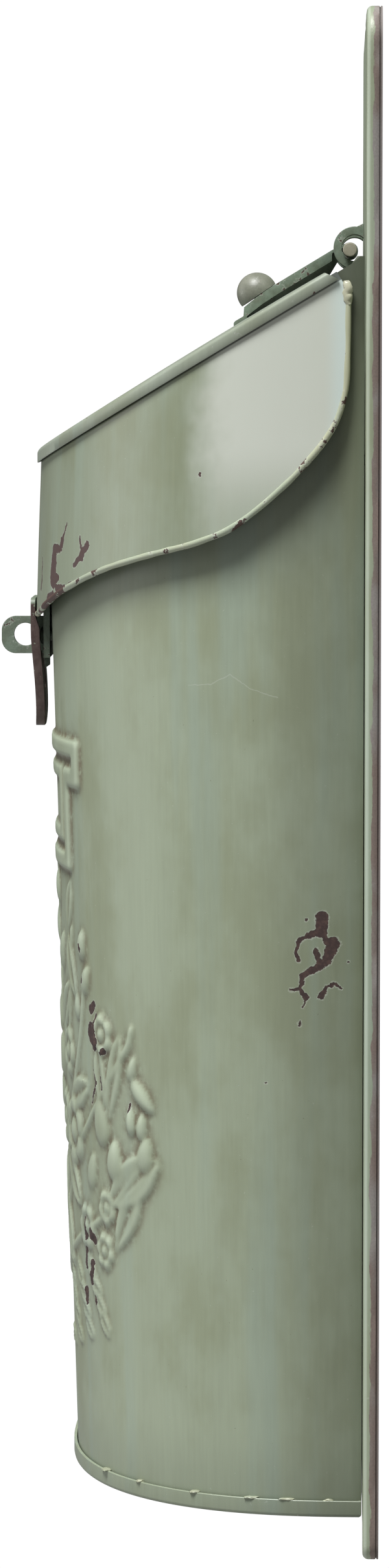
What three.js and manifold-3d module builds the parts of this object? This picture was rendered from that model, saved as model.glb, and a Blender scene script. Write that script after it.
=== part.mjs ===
// Wall mounted mailbox of painted sheet metal: a tapering D-shaped box on a flanged back plate, a
// sloping domed lid with a deep skirt on a loose-pin strap hinge, and a slotted hasp over a staple.
// Millimetres. +X is to the right seen from the front, the wall is the plane Y = 0 with the front
// towards -Y, and +Z is up. Heights are measured from the foot of the back plate; the last lines
// lower the whole model so that its origin lies on the middle of the back plate's lower rear lip.
import * as THREE from "three";
import { mergeVertices } from "three/addons/utils/BufferGeometryUtils.js";
import Module from "manifold-3d";

const wasm = await Module();
wasm.setup();

// ---- Driving dimensions ----

const SHEET = 0.9; // thickness of the pressed sheet
const GAP = 0.3; // clearance kept between pieces that touch

const PLATE = {
  width: 260, height: 450, depth: 4.6, lip: 8, bend: 1.7, topCorner: 11, footCorner: 5,
  hangHole: { radius: 4, height: 428 },
  screwHole: { radius: 3.2, height: 300, apart: 120 },
};

const BODY = {
  foot: 9.5, halfWidth: 106, depth: 88.9, widthTaper: 0.028, depthTaper: 0.03,
  footExponent: 2.45, rimExponent: 2.28, rimHeight: 380, rimBelowLid: 2.2,
  flange: 11,
};

const PAN = { floor: 8, rim: 13, bend: 1.2, dish: 1.4, dishInset: 30 };

// The lid's D-shaped edge lies in a plane that falls towards the front at this slope.
const LID = {
  halfWidth: 119, depth: 101, exponent: 2.3, rearHeight: 376.8, slope: 0.593,
  flange: 4, edgeBend: 1.2, crown: 1, crownInset: 42, flare: 0.036, drop: 60,
};

const HEM_RADIUS = 0.85;
// The hem's centre line from the side: down the rear edge, then sweeping forward to the front.
const HEM_PROFILE = [
  [-9.2, 368], [-9.4, 350], [-10.4, 338.5], [-14.4, 328.4], [-25.2, 315.4], [-40.6, 302.2],
  [-52.2, 296.5], [-68.6, 291.7], [-80.5, 287.7], [-89.8, 283.1], [-98.2, 277.6], [-105.2, 270.6],
];

const PIN = { radius: 2.15, waist: 1.3, waistHalf: 13.8, y: -9.1, z: 382.3, halfLength: 29.5 };

// The strap's outer face passes over the pin's axis at topUp and bows down from bowFrom to its bend.
const STRAP = {
  halfWidth: 12, gauge: 0.9, eyeOuter: 2.55, topUp: 3, eyeNeck: 4.5, angle: 31.1, bowFrom: -31.5,
  bow: 0.0122, bendY: -41.6, toeY: -44.8, toeGauge: 2.2, wall: 2.9, wallFrom: -14.6,
  rib: { x: 5, rear: -11.2 },
};

const BRACKET = {
  inner: 15.5, outer: 26.5, loopY: -7.6, loopZ: 382.9, loopOuter: 6.5, loopInner: 4,
  strip: 2.6, footHeight: 365, rivetHeight: 370.2,
};

const KNOB = { radius: 6.3, centreUp: 1.2, y: -37.1, tilt: 34.2, screwRadius: 1.75, screwDepth: 5 };

const STAPLE = {
  base: { halfWidth: 10, low: 256.6, high: 275.5, rear: -101.8, front: -103.8 },
  eye: { halfGauge: 1.3, tip: -117.3, low: 257.5, high: 269.1, corner: 4.4 },
  hole: { y: -109.9, z: 263.4, radius: 3.6 },
  web: { reach: -104.4, foot: 252.9 },
  rivet: { x: 6.2, z: 263.4 },
};

const HASP = {
  gauge: 1.4, thick: 2.7, thinAbove: 267.5, recess: { halfWidth: 9.9, low: 258.5, floor: -106.1 },
  top: 275.2, foot: 235.2, halfWidth: 12, footHalfWidth: 7.5, topCorner: 2.5,
  slot: { halfWidth: 3.5, low: 246.8, high: 269.9 },
};

const RIVET = { shank: 1.6, head: 3, headHeight: 1.5, tail: 2.6, tailHeight: 0.9 };
const BODY_RIVETS = { heights: [60, 190, 320], fromSide: 6.4 };

// ---- Finishes ----

const FINISHES = {
  sagePaint: { color: 0x98a58f, roughness: 0.55, metalness: 0.1 },
  palePaint: { color: 0xb4bdb0, roughness: 0.5, metalness: 0.1 },
  darkPaint: { color: 0x5f6a5c, roughness: 0.5, metalness: 0.2 },
  wornBrown: { color: 0x4a3835, roughness: 0.6, metalness: 0.3 },
};

// ---- Shape helpers ----

// A named mesh in one of the finishes.
function piece(name, geometry, finish) {
  const mesh = new THREE.Mesh(geometry, new THREE.MeshStandardMaterial(FINISHES[finish]));
  mesh.name = name;
  return mesh;
}

// A closed geometry as a solid for cutting and joining.
function solidOf(geometry) {
  const bare = geometry.index ? geometry.toNonIndexed() : geometry.clone();
  bare.deleteAttribute("normal");
  bare.deleteAttribute("uv");
  const merged = mergeVertices(bare, 1e-4);
  return new wasm.Manifold(new wasm.Mesh({
    numProp: 3,
    vertProperties: new Float32Array(merged.attributes.position.array),
    triVerts: new Uint32Array(merged.index.array),
  }));
}

// A solid back as a geometry that three.js can draw.
function geometryOf(solid) {
  const { vertProperties, triVerts } = solid.getMesh();
  const geometry = new THREE.BufferGeometry();
  geometry.setAttribute("position", new THREE.BufferAttribute(vertProperties, 3));
  geometry.setIndex(new THREE.BufferAttribute(triVerts, 1));
  const faceted = geometry.toNonIndexed();
  faceted.computeVertexNormals();
  return faceted;
}

function carve(geometry, ...cutters) {
  return geometryOf(cutters.reduce((left, cutter) => left.subtract(solidOf(cutter)), solidOf(geometry)));
}

function fuse(geometry, ...others) {
  return geometryOf(others.reduce((sum, other) => sum.add(solidOf(other)), solidOf(geometry)));
}

function common(geometry, other) {
  return geometryOf(solidOf(geometry).intersect(solidOf(other)));
}

// Skins a stack of rings, listed from the upper face round to the lower face. Each ring is a loop
// of the same count, anticlockwise seen from above, and the first and last are closed across.
function stackRings(rings) {
  const count = rings[0].length;
  const index = [];
  for (let ring = 0; ring + 1 < rings.length; ring += 1) {
    for (let i = 0; i < count; i += 1) {
      const here = ring * count + i;
      const next = ring * count + (i + 1) % count;
      index.push(here, here + count, next + count, here, next + count, next);
    }
  }
  const flat = (ring) => ring.map((point) => new THREE.Vector2(point.x, point.y));
  const lastStart = (rings.length - 1) * count;
  for (const [a, b, c] of THREE.ShapeUtils.triangulateShape(flat(rings[0]), [])) {
    index.push(a, b, c);
  }
  for (const [a, b, c] of THREE.ShapeUtils.triangulateShape(flat(rings.at(-1)), [])) {
    index.push(lastStart + a, lastStart + c, lastStart + b);
  }
  const geometry = new THREE.BufferGeometry().setFromPoints(rings.flat());
  geometry.setIndex(index);
  const faceted = geometry.toNonIndexed();
  faceted.computeVertexNormals();
  return faceted;
}

// A loop of plan points lifted to one height.
const ringAt = (loop, height) => loop.map((point) => new THREE.Vector3(point.x, point.y, height));

// Half a superellipse in plan, straight across at the rear and bulging to the front, with its
// points running from -X round the front to +X.
function dOutline({ halfWidth, depth, rear, exponent }, steps = 48) {
  const points = [];
  for (let step = 0; step <= steps; step += 1) {
    const angle = Math.PI * step / steps;
    const across = -Math.sign(Math.cos(angle)) * Math.abs(Math.cos(angle)) ** (2 / exponent);
    const forward = Math.sin(angle) ** (2 / exponent);
    points.push(new THREE.Vector2(halfWidth * across, rear - depth * forward));
  }
  return points;
}

// The section of a D-shaped wall of sheet: outer curve, inner curve and, where the flange is wider
// than the sheet, flanges turned in along the rear.
function wallSection(outer, inner, flange) {
  const side = outer.at(-1).x;
  const rear = outer[0].y;
  const rightEnd = [
    new THREE.Vector2(side - flange, rear),
    new THREE.Vector2(side - flange, rear - SHEET),
    new THREE.Vector2(side - SHEET, rear - SHEET),
  ];
  const leftEnd = rightEnd.map((point) => new THREE.Vector2(-point.x, point.y)).reverse();
  return [...outer, ...rightEnd, ...inner.slice(1, -1).reverse(), ...leftEnd];
}

// A flat profile drawn in the (Y, Z) plane, extruded along X.
function alongX(outline, from, to, curveSegments = 16) {
  const shape = outline instanceof THREE.Shape ? outline : polygon(outline);
  const geometry = new THREE.ExtrudeGeometry(shape, {
    depth: to - from, bevelEnabled: false, curveSegments,
  });
  const axes = new THREE.Matrix4().makeBasis(
    new THREE.Vector3(0, 1, 0), new THREE.Vector3(0, 0, 1), new THREE.Vector3(1, 0, 0),
  );
  return geometry.applyMatrix4(axes).translate(from, 0, 0);
}

// A flat profile drawn in the (X, Z) plane, extruded along Y.
function alongY(shape, from, to, curveSegments = 12) {
  const geometry = new THREE.ExtrudeGeometry(shape, {
    depth: to - from, bevelEnabled: false, curveSegments,
  });
  return geometry.rotateX(Math.PI / 2).translate(0, to, 0);
}

const polygon = (points) => new THREE.Shape(points.map(([u, v]) => new THREE.Vector2(u, v)));

// A round rod between two points.
function rod(radius, from, to, sides = 24) {
  const run = new THREE.Vector3().subVectors(to, from);
  const geometry = new THREE.CylinderGeometry(radius, radius, run.length(), sides);
  geometry.translate(0, run.length() / 2, 0);
  const turn = new THREE.Quaternion().setFromUnitVectors(
    new THREE.Vector3(0, 1, 0), run.clone().normalize(),
  );
  return geometry.applyQuaternion(turn).translate(from.x, from.y, from.z);
}

// A turned piece: (radius, height) profile points spun round an axis that starts at a point.
function turned(profile, start, direction, sides = 20) {
  const points = profile.map(([radius, height]) => new THREE.Vector2(radius, height));
  const geometry = new THREE.LatheGeometry(points, sides);
  const turn = new THREE.Quaternion().setFromUnitVectors(new THREE.Vector3(0, 1, 0), direction);
  return geometry.applyQuaternion(turn).translate(start.x, start.y, start.z);
}

// A rounded rectangle as a loop of plan points, anticlockwise, drawn in by an inset. Its lower
// edge is at v = 0.
function plateLoop(inset, arcSteps = 6) {
  const corners = [
    { u: 1, v: 0, radius: PLATE.footCorner, turn: -90 },
    { u: 1, v: 1, radius: PLATE.topCorner, turn: 0 },
    { u: -1, v: 1, radius: PLATE.topCorner, turn: 90 },
    { u: -1, v: 0, radius: PLATE.footCorner, turn: 180 },
  ];
  const points = [];
  for (const corner of corners) {
    const radius = Math.max(corner.radius - inset, 0.2);
    const reach = inset + radius;
    const centreU = corner.u * (PLATE.width / 2 - reach);
    const centreV = corner.v ? PLATE.height - reach : reach;
    for (let step = 0; step <= arcSteps; step += 1) {
      const angle = THREE.MathUtils.degToRad(corner.turn + 90 * step / arcSteps);
      points.push(new THREE.Vector2(
        centreU + radius * Math.cos(angle), centreV + radius * Math.sin(angle),
      ));
    }
  }
  return points;
}

// ---- Back plate ----

const PLATE_FRONT = -PLATE.depth;

// A hole through the back plate's sheet, from in front of it to behind it.
const plateHole = (radius, x, z) => rod(
  radius, new THREE.Vector3(x, -2 * PLATE.depth, z), new THREE.Vector3(x, PLATE.depth, z),
);

// Rim turned to the wall and finished with a flat lip that lies on it.
function backPlate() {
  const { depth, bend, lip, hangHole, screwHole } = PLATE;
  const bendInside = bend - SHEET;
  const profile = [
    [bend, depth], [0.3 * bend, depth - 0.3 * bend], [0, depth - bend], [0, 0],
    [lip, 0], [lip, SHEET], [SHEET, SHEET], [SHEET, depth - bend],
    [SHEET + 0.3 * bendInside, depth - SHEET - 0.3 * bendInside], [bend, depth - SHEET],
  ];
  const rings = profile.map(([inset, height]) => ringAt(plateLoop(inset), height));
  const holes = [plateHole(hangHole.radius, 0, hangHole.height)];
  for (const side of [-1, 1]) {
    holes.push(plateHole(screwHole.radius, side * screwHole.apart / 2, screwHole.height));
    holes.push(plateHole(RIVET.shank + GAP, side * bracketMiddle(), BRACKET.rivetHeight));
    for (const height of BODY_RIVETS.heights) {
      holes.push(plateHole(RIVET.shank + GAP, side * bodyRivetX(height), height));
    }
  }
  return carve(stackRings(rings).rotateX(Math.PI / 2), ...holes);
}

// ---- Body ----

const bodyHalfWidth = (z) => BODY.halfWidth + BODY.widthTaper * (z - PAN.rim);
const bodyFront = (z) => PLATE_FRONT - BODY.depth - BODY.depthTaper * (z - PAN.rim);
const bodyRivetX = (z) => bodyHalfWidth(z) - BODY_RIVETS.fromSide;

function bodySection(z) {
  const rear = PLATE_FRONT - GAP;
  const climb = (z - BODY.foot) / (BODY.rimHeight - BODY.foot);
  const exponent = THREE.MathUtils.lerp(BODY.footExponent, BODY.rimExponent, climb);
  const halfWidth = bodyHalfWidth(z);
  const depth = rear - bodyFront(z);
  const outer = dOutline({ halfWidth, depth, rear, exponent });
  const inner = dOutline({ halfWidth: halfWidth - SHEET, depth: depth - SHEET, rear, exponent });
  return ringAt(wallSection(outer, inner, BODY.flange), z);
}

// A long block that reaches well past the model on both sides of X.
const acrossBlock = (points) => alongX(points, -PLATE.width, PLATE.width);

function bodyShell() {
  const { rimBelowLid, foot, rimHeight } = BODY;
  const above = acrossBlock([
    [-200, lidPlane(-200) + rimBelowLid], [50, lidPlane(50) + rimBelowLid], [50, 500], [-200, 500],
  ]);
  const panClearance = PAN.rim + GAP;
  const footNotch = acrossBlock([
    [PLATE_FRONT - 2 * GAP - SHEET, 0], [10, 0], [10, panClearance],
    [PLATE_FRONT - 2 * GAP - SHEET, panClearance],
  ]);
  const cutters = [above, footNotch];
  for (const side of [-1, 1]) {
    for (const height of BODY_RIVETS.heights) {
      const x = side * bodyRivetX(height);
      cutters.push(rod(
        RIVET.shank + GAP, new THREE.Vector3(x, -12, height), new THREE.Vector3(x, 0, height),
      ));
    }
    cutters.push(stapleRivetHole(side));
  }
  return carve(stackRings([bodySection(rimHeight), bodySection(foot)]), ...cutters);
}

// ---- Bottom pan ----

function panRing(inset, height) {
  const rear = PLATE_FRONT - GAP - Math.max(inset, 0);
  const grow = SHEET + GAP - inset;
  return ringAt(dOutline({
    halfWidth: BODY.halfWidth + grow,
    depth: rear - (PLATE_FRONT - BODY.depth - grow),
    rear,
    exponent: BODY.footExponent,
  }), height);
}

// A shallow tray whose rim stands up outside the body's foot.
function bottomPan() {
  const { floor, rim, bend, dish, dishInset } = PAN;
  return stackRings([
    panRing(dishInset, floor + SHEET - dish),
    panRing(bend + SHEET, floor + SHEET),
    panRing(SHEET, floor + SHEET + 0.2),
    panRing(SHEET, rim),
    panRing(0, rim),
    panRing(0, floor + bend),
    panRing(0.3 * bend, floor + 0.3 * bend),
    panRing(bend, floor),
    panRing(dishInset, floor - dish),
  ]);
}

// ---- Lid ----

// Height of the plane of the lid flange's lower edge.
const lidPlane = (y) => LID.rearHeight + LID.slope * (y - PLATE_FRONT);

// The lid's outline drawn in by an inset, at a height above the lid plane.
function lidRing(inset, height) {
  const rear = PLATE_FRONT - inset;
  const loop = dOutline({
    halfWidth: LID.halfWidth - inset, depth: LID.depth - 2 * inset, rear, exponent: LID.exponent,
  });
  return loop.map((point) => new THREE.Vector3(point.x, point.y, lidPlane(point.y) + height));
}

// Height of the dome's outer face above the lid plane, at an inset from the lid's edge.
function domeHeight(inset) {
  const climb = (inset - LID.edgeBend) / (LID.crownInset - LID.edgeBend);
  return LID.flange + LID.crown * (1 - (1 - climb) ** 2);
}

// Height of the lid's outer face over the middle line, at a depth that the dome reaches.
function lidTopHeight(y) {
  const inset = Math.min(PLATE_FRONT - y, LID.crownInset);
  return lidPlane(y) + domeHeight(inset);
}

function lidTop() {
  const { edgeBend, flange, crownInset } = LID;
  const domeInsets = [1, 0.72, 0.48, 0.28, 0.12].map(
    (share) => edgeBend + share * (crownInset - edgeBend),
  );
  const rings = [
    ...domeInsets.map((inset) => lidRing(inset, domeHeight(inset))),
    lidRing(edgeBend, flange),
    lidRing(0.3 * edgeBend, flange - 0.3 * edgeBend),
    lidRing(0, flange - edgeBend),
    lidRing(0, 0),
    lidRing(SHEET, 0),
    lidRing(SHEET, flange - edgeBend),
    lidRing(edgeBend + 0.2, flange - SHEET),
    ...domeInsets.reverse().map((inset) => lidRing(inset, domeHeight(inset) - SHEET)),
  ];
  const rearCut = acrossBlock([[-11, 371.6], [20, 350], [20, 400], [-15.2, 381]]);
  return carve(stackRings(rings), rearCut, knobScrewHole());
}

// The hem's side view as points with the unit normal that points into the sheet. The points
// crowd towards the front, where the outline turns across X.
function hemStations(count) {
  const spline = new THREE.SplineCurve(HEM_PROFILE.map(([y, z]) => new THREE.Vector2(y, z)));
  const stations = [];
  for (let step = 0; step <= count; step += 1) {
    const along = 1 - (1 - step / count) ** LID.exponent;
    const tangent = spline.getTangentAt(along);
    stations.push({
      point: spline.getPointAt(along), inward: new THREE.Vector2(tangent.y, -tangent.x),
    });
  }
  return stations;
}

// The skirt flares by this inset at a height above (or, negative, below) the lid plane.
const skirtInset = (height) => SHEET + GAP + LID.flare * Math.min(height, 0);

function skirtSection(height) {
  const outer = lidRing(skirtInset(height), height);
  const inner = lidRing(skirtInset(height) + SHEET, height);
  return [...outer, ...inner.reverse()];
}

// The edge of the skirt's sheet in side view: round the rear corner and along the hem.
function skirtEdge() {
  const setBack = HEM_RADIUS + GAP;
  const alongHem = hemStations(28).map(({ point, inward }) => [
    point.x + setBack * inward.x, point.y + setBack * inward.y,
  ]);
  const rearCorner = [[-12.9, 400], [-12.9, 375.2], [-8.9, 371], [-8.9, 369.6]];
  return [...rearCorner, ...alongHem, [-125, 270], [-125, 400]];
}

function lidSkirt() {
  const topHeight = LID.flange - SHEET - 2 * GAP;
  const wall = stackRings([skirtSection(topHeight), skirtSection(0), skirtSection(-LID.drop)]);
  return common(wall, acrossBlock(skirtEdge()));
}

// Half width of the skirt's middle surface at a point of the side view.
function skirtHalfWidth(y, z) {
  const inset = skirtInset(z - lidPlane(y)) + SHEET / 2;
  const rear = PLATE_FRONT - inset;
  const share = Math.min((rear - y) / (LID.depth - 2 * inset), 1);
  return (LID.halfWidth - inset) * Math.max(1 - share ** LID.exponent, 0) ** (1 / LID.exponent);
}

function skirtHem() {
  const right = hemStations(26).map(({ point }) => new THREE.Vector3(
    skirtHalfWidth(point.x, point.y), point.x, point.y,
  ));
  right.at(-1).x = 0;
  const left = right.slice(0, -1).map((point) => new THREE.Vector3(-point.x, point.y, point.z));
  const path = new THREE.CatmullRomCurve3([...left, ...right.reverse()], false, "centripetal");
  const section = new THREE.Shape().absarc(0, 0, HEM_RADIUS, 0, 2 * Math.PI);
  return new THREE.ExtrudeGeometry(section, {
    steps: 110, curveSegments: 4, extrudePath: path,
  });
}

// ---- Hinge ----

const bracketMiddle = () => (BRACKET.inner + BRACKET.outer) / 2;

// Where a circle of the bracket's loop crosses a plane of constant Y, as an angle from +Y.
const loopAngle = (radius, y) => Math.acos((y - BRACKET.loopY) / radius);

// A strip riveted to the back plate by its foot, looped round the pin and back to the plate.
function hingeBracket(side) {
  const { loopY, loopZ, loopOuter, loopInner, strip, footHeight, rivetHeight } = BRACKET;
  const rear = PLATE_FRONT - GAP;
  const footFront = rear - strip;
  const footAngle = loopAngle(loopOuter, footFront);
  const topAngle = loopAngle(loopOuter, footFront + 0.5);
  const innerAngle = loopAngle(loopInner, rear);
  const shape = new THREE.Shape();
  shape.moveTo(rear, footHeight);
  shape.lineTo(rear, loopZ - loopInner * Math.sin(innerAngle));
  shape.absarc(loopY, loopZ, loopInner, -innerAngle, innerAngle, true);
  shape.lineTo(rear, loopZ + loopOuter + 1);
  shape.absarc(loopY, loopZ, loopOuter, topAngle, 2 * Math.PI - footAngle, false);
  shape.lineTo(footFront, footHeight);
  const [from, to] = side > 0 ? [BRACKET.inner, BRACKET.outer] : [-BRACKET.outer, -BRACKET.inner];
  const x = side * bracketMiddle();
  const hole = rod(
    RIVET.shank + GAP, new THREE.Vector3(x, -20, rivetHeight), new THREE.Vector3(x, 0, rivetHeight),
  );
  return carve(alongX(shape, from, to, 20), hole);
}

// Two thick round ends that lie in the brackets, and a thinner waist that the strap turns on.
function hingePin() {
  const { radius, waist, waistHalf, halfLength } = PIN;
  const start = new THREE.Vector3(-halfLength, PIN.y, PIN.z);
  return turned([
    [0, 0], [radius, 0], [radius, halfLength - waistHalf], [waist, halfLength - waistHalf],
    [waist, halfLength + waistHalf], [radius, halfLength + waistHalf], [radius, 2 * halfLength],
    [0, 2 * halfLength],
  ], start, new THREE.Vector3(1, 0, 0), 24);
}

// The strap runs straight from its eye down to the knob: this gives a point of the (Y, Z) plane at
// a distance forward of the pin, and a height square to the strap above the pin's axis.
const STRAP_ANGLE = THREE.MathUtils.degToRad(STRAP.angle);
function strapPoint(forward, up) {
  return [
    PIN.y - forward * Math.cos(STRAP_ANGLE) - up * Math.sin(STRAP_ANGLE),
    PIN.z - forward * Math.sin(STRAP_ANGLE) + up * Math.cos(STRAP_ANGLE),
  ];
}

// The strap's outer face at a depth Y.
const strapTopAt = (y) => PIN.z + STRAP.topUp / Math.cos(STRAP_ANGLE)
  + Math.tan(STRAP_ANGLE) * (y - PIN.y) - STRAP.bow * Math.max(STRAP.bowFrom - y, 0) ** 2;

// Points at a drop below the strap's outer face, from one depth Y to another.
function strapLine(from, to, drop, steps = 5) {
  const points = [];
  for (let step = 0; step <= steps; step += 1) {
    const y = THREE.MathUtils.lerp(from, to, step / steps);
    points.push([y, strapTopAt(y) - drop]);
  }
  return points;
}

// Sheet curled round the pin at one end and stepped down onto the lid at the other.
function strapSheet() {
  const { eyeOuter, eyeNeck, topUp, gauge, bendY, bowFrom, toeY, toeGauge } = STRAP;
  const eyeInner = eyeOuter - gauge;
  const upright = STRAP_ANGLE + Math.PI / 2;
  const curlEnd = THREE.MathUtils.degToRad(-170);
  const underGauge = gauge / Math.cos(STRAP_ANGLE);
  const toeTop = (y) => lidTopHeight(y) + GAP + toeGauge;
  const shape = new THREE.Shape();
  shape.moveTo(bendY, strapTopAt(bendY));
  for (const [y, z] of strapLine(bendY, bowFrom, 0).slice(1)) {
    shape.lineTo(y, z);
  }
  shape.lineTo(...strapPoint(eyeNeck, topUp));
  shape.absarc(PIN.y, PIN.z, eyeOuter, upright, curlEnd, true);
  shape.absarc(PIN.y, PIN.z, eyeInner, curlEnd, upright, false);
  shape.lineTo(...strapPoint(eyeNeck, topUp - gauge));
  for (const [y, z] of strapLine(bowFrom, bendY + gauge, underGauge)) {
    shape.lineTo(y, z);
  }
  shape.lineTo(bendY + gauge, toeTop(bendY + gauge) - toeGauge);
  shape.lineTo(toeY, toeTop(toeY) - toeGauge);
  shape.lineTo(toeY, toeTop(toeY) - 0.3);
  shape.lineTo(toeY + 0.5, toeTop(toeY + 0.5));
  shape.lineTo(bendY - 0.2, toeTop(bendY - 0.2));
  return alongX(shape, -STRAP.halfWidth, STRAP.halfWidth, 24);
}

// One of the strap's side walls, turned down from the sheet.
function strapWall(from, to) {
  const { wallFrom, bendY, wall } = STRAP;
  const front = bendY + 0.4;
  return alongX([
    ...strapLine(wallFrom, front, 0.4), ...strapLine(front, wallFrom, wall / Math.cos(STRAP_ANGLE)),
  ], from, to);
}

// One of the two ribs under the strap, which bear on the lid.
function strapRib(middle) {
  const { rib, bendY, gauge } = STRAP;
  const lower = (y) => [y, lidTopHeight(y) + GAP];
  return alongX([
    ...strapLine(rib.rear, bendY + 0.4, 0.4), lower(bendY + 0.4), lower(rib.rear - 4),
    [rib.rear, strapTopAt(rib.rear) - 3 * gauge],
  ], middle - gauge / 2, middle + gauge / 2);
}

function hingeStrap() {
  const { halfWidth, gauge, rib } = STRAP;
  const channel = fuse(
    strapSheet(),
    strapWall(halfWidth - gauge, halfWidth),
    strapWall(-halfWidth, gauge - halfWidth),
    strapRib(rib.x),
    strapRib(-rib.x),
  );
  return carve(channel, knobScrewHole());
}

// ---- Knob ----

const KNOB_TILT = THREE.MathUtils.degToRad(KNOB.tilt);
const KNOB_AXIS = new THREE.Vector3(0, -Math.sin(KNOB_TILT), Math.cos(KNOB_TILT));

// A point of the knob's axis at a height above the strap's outer face.
const knobPoint = (up) => new THREE.Vector3(0, KNOB.y, strapTopAt(KNOB.y)).addScaledVector(KNOB_AXIS, up);

const knobScrewHole = () => rod(KNOB.screwRadius + GAP, knobPoint(-12), knobPoint(1));

// A ball flattened where it sits on the strap, with a blind hole for the screw.
function lidKnob() {
  const { radius, centreUp, screwDepth, screwRadius } = KNOB;
  const base = GAP;
  const baseRadius = Math.sqrt(radius ** 2 - (centreUp - base) ** 2);
  const profile = [[0, base], [baseRadius, base]];
  const startAngle = Math.asin((base - centreUp) / radius);
  for (let step = 1; step < 14; step += 1) {
    const angle = THREE.MathUtils.lerp(startAngle, Math.PI / 2, step / 14);
    profile.push([radius * Math.cos(angle), centreUp + radius * Math.sin(angle)]);
  }
  profile.push([0, centreUp + radius]);
  const ball = turned(profile, knobPoint(0), KNOB_AXIS, 28);
  return carve(ball, rod(screwRadius + GAP, knobPoint(-1), knobPoint(screwDepth)));
}

// Its head is inside the lid, and its shank passes through lid and strap into the knob.
function knobScrew() {
  const { screwRadius, screwDepth } = KNOB;
  const headTop = -6.8;
  return turned([
    [0, headTop - 1.8], [2.6, headTop - 1.8], [3.4, headTop - 1], [3.4, headTop],
    [screwRadius, headTop], [screwRadius, screwDepth - 0.6 - GAP], [0, screwDepth - GAP],
  ], knobPoint(0), KNOB_AXIS);
}

// ---- Staple and hasp ----

function stapleRivetHole(side) {
  const { x, z } = STAPLE.rivet;
  return rod(
    RIVET.shank + GAP, new THREE.Vector3(side * x, -110, z), new THREE.Vector3(side * x, -90, z),
  );
}

// Base plate on the body's front, with a pierced eye that stands out through the hasp.
function staple() {
  const { base, eye, hole, web } = STAPLE;
  const plate = alongX([
    [base.rear, base.low], [base.rear, base.high], [base.front, base.high], [base.front, base.low],
  ], -base.halfWidth, base.halfWidth);
  const root = base.rear - 0.5;
  const outline = new THREE.Shape();
  outline.moveTo(root, eye.low);
  outline.lineTo(root, eye.high);
  outline.lineTo(eye.tip + eye.corner, eye.high);
  outline.absarc(
    eye.tip + eye.corner, eye.high - eye.corner, eye.corner, Math.PI / 2, Math.PI, false,
  );
  outline.absarc(
    eye.tip + eye.corner, eye.low + eye.corner, eye.corner, Math.PI, 1.5 * Math.PI, false,
  );
  outline.holes.push(new THREE.Path().absarc(hole.y, hole.z, hole.radius, 0, 2 * Math.PI, true));
  const eyeTab = alongX(outline, -eye.halfGauge, eye.halfGauge);
  const gusset = alongX([
    [root, eye.low + 1], [web.reach, eye.low + 1], [base.front, web.foot], [root, web.foot + 1],
  ], -eye.halfGauge, eye.halfGauge);
  return carve(fuse(plate, eyeTab, gusset), stapleRivetHole(-1), stapleRivetHole(1));
}

// Slotted strap hanging from the front of the hem, bowed in towards the body at its foot. It is
// thinner behind the hem, and recessed over the heads of the staple's rivets.
function haspStrap() {
  const { gauge, thick, thinAbove, recess, top, foot, halfWidth, footHalfWidth, topCorner } = HASP;
  const bow = new THREE.SplineCurve([
    [-107.6, top + 1], [-107.6, 264], [-107, 256], [-106.4, 248], [-106.15, 240], [-106.5, foot - 1],
  ].map(([y, z]) => new THREE.Vector2(y, z)));
  const outerFace = bow.getPoints(18).map((point) => [point.x, point.y]);
  const innerFace = outerFace.map(([y, z]) => [y + (z > thinAbove ? gauge : thick), z]).reverse();
  const bent = alongX([...outerFace, ...innerFace], -halfWidth - 1, halfWidth + 1);
  const front = new THREE.Shape();
  front.moveTo(-halfWidth, 262);
  front.lineTo(-halfWidth, top - topCorner);
  front.quadraticCurveTo(-halfWidth, top, topCorner - halfWidth, top);
  front.lineTo(halfWidth - topCorner, top);
  front.quadraticCurveTo(halfWidth, top, halfWidth, top - topCorner);
  front.lineTo(halfWidth, 262);
  front.quadraticCurveTo(halfWidth - 0.6, 250, footHalfWidth + 1.6, foot + 5);
  front.quadraticCurveTo(footHalfWidth, foot, footHalfWidth - 4, foot);
  front.lineTo(4 - footHalfWidth, foot);
  front.quadraticCurveTo(-footHalfWidth, foot, -footHalfWidth - 1.6, foot + 5);
  front.quadraticCurveTo(0.6 - halfWidth, 250, -halfWidth, 262);
  const slot = roundedWindow(HASP.slot.halfWidth, HASP.slot.low, HASP.slot.high, 1.5);
  const headRoom = alongX([
    [recess.floor, recess.low], [-100, recess.low], [-100, top], [recess.floor, top],
  ], -recess.halfWidth, recess.halfWidth);
  return carve(common(bent, alongY(front, -112, -100)), alongY(slot, -115, -95), headRoom);
}

// An upright rectangle with rounded corners in the (X, Z) plane.
function roundedWindow(halfWidth, low, high, corner) {
  const window = new THREE.Shape();
  window.moveTo(corner - halfWidth, low);
  window.lineTo(halfWidth - corner, low);
  window.quadraticCurveTo(halfWidth, low, halfWidth, low + corner);
  window.lineTo(halfWidth, high - corner);
  window.quadraticCurveTo(halfWidth, high, halfWidth - corner, high);
  window.lineTo(corner - halfWidth, high);
  window.quadraticCurveTo(-halfWidth, high, -halfWidth, high - corner);
  window.lineTo(-halfWidth, low + corner);
  window.quadraticCurveTo(-halfWidth, low, corner - halfWidth, low);
  return window;
}

// ---- Rivets ----

// A round-headed rivet along Y: its head bears on the face at headY and its tail is closed over
// the face at tailY.
function rivet(x, z, headY, tailY, headHeight = RIVET.headHeight) {
  const { shank, head, tail, tailHeight } = RIVET;
  const grip = Math.abs(tailY - headY) + 2 * GAP;
  const direction = new THREE.Vector3(0, Math.sign(tailY - headY), 0);
  const start = new THREE.Vector3(x, headY - direction.y * GAP, z);
  return turned([
    [0, -headHeight], [0.55 * head, -0.86 * headHeight], [0.86 * head, -0.5 * headHeight], [head, 0],
    [shank, 0], [shank, grip], [tail, grip], [0.8 * tail, grip + tailHeight], [0, grip + tailHeight],
  ], start, direction, 16);
}

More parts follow.
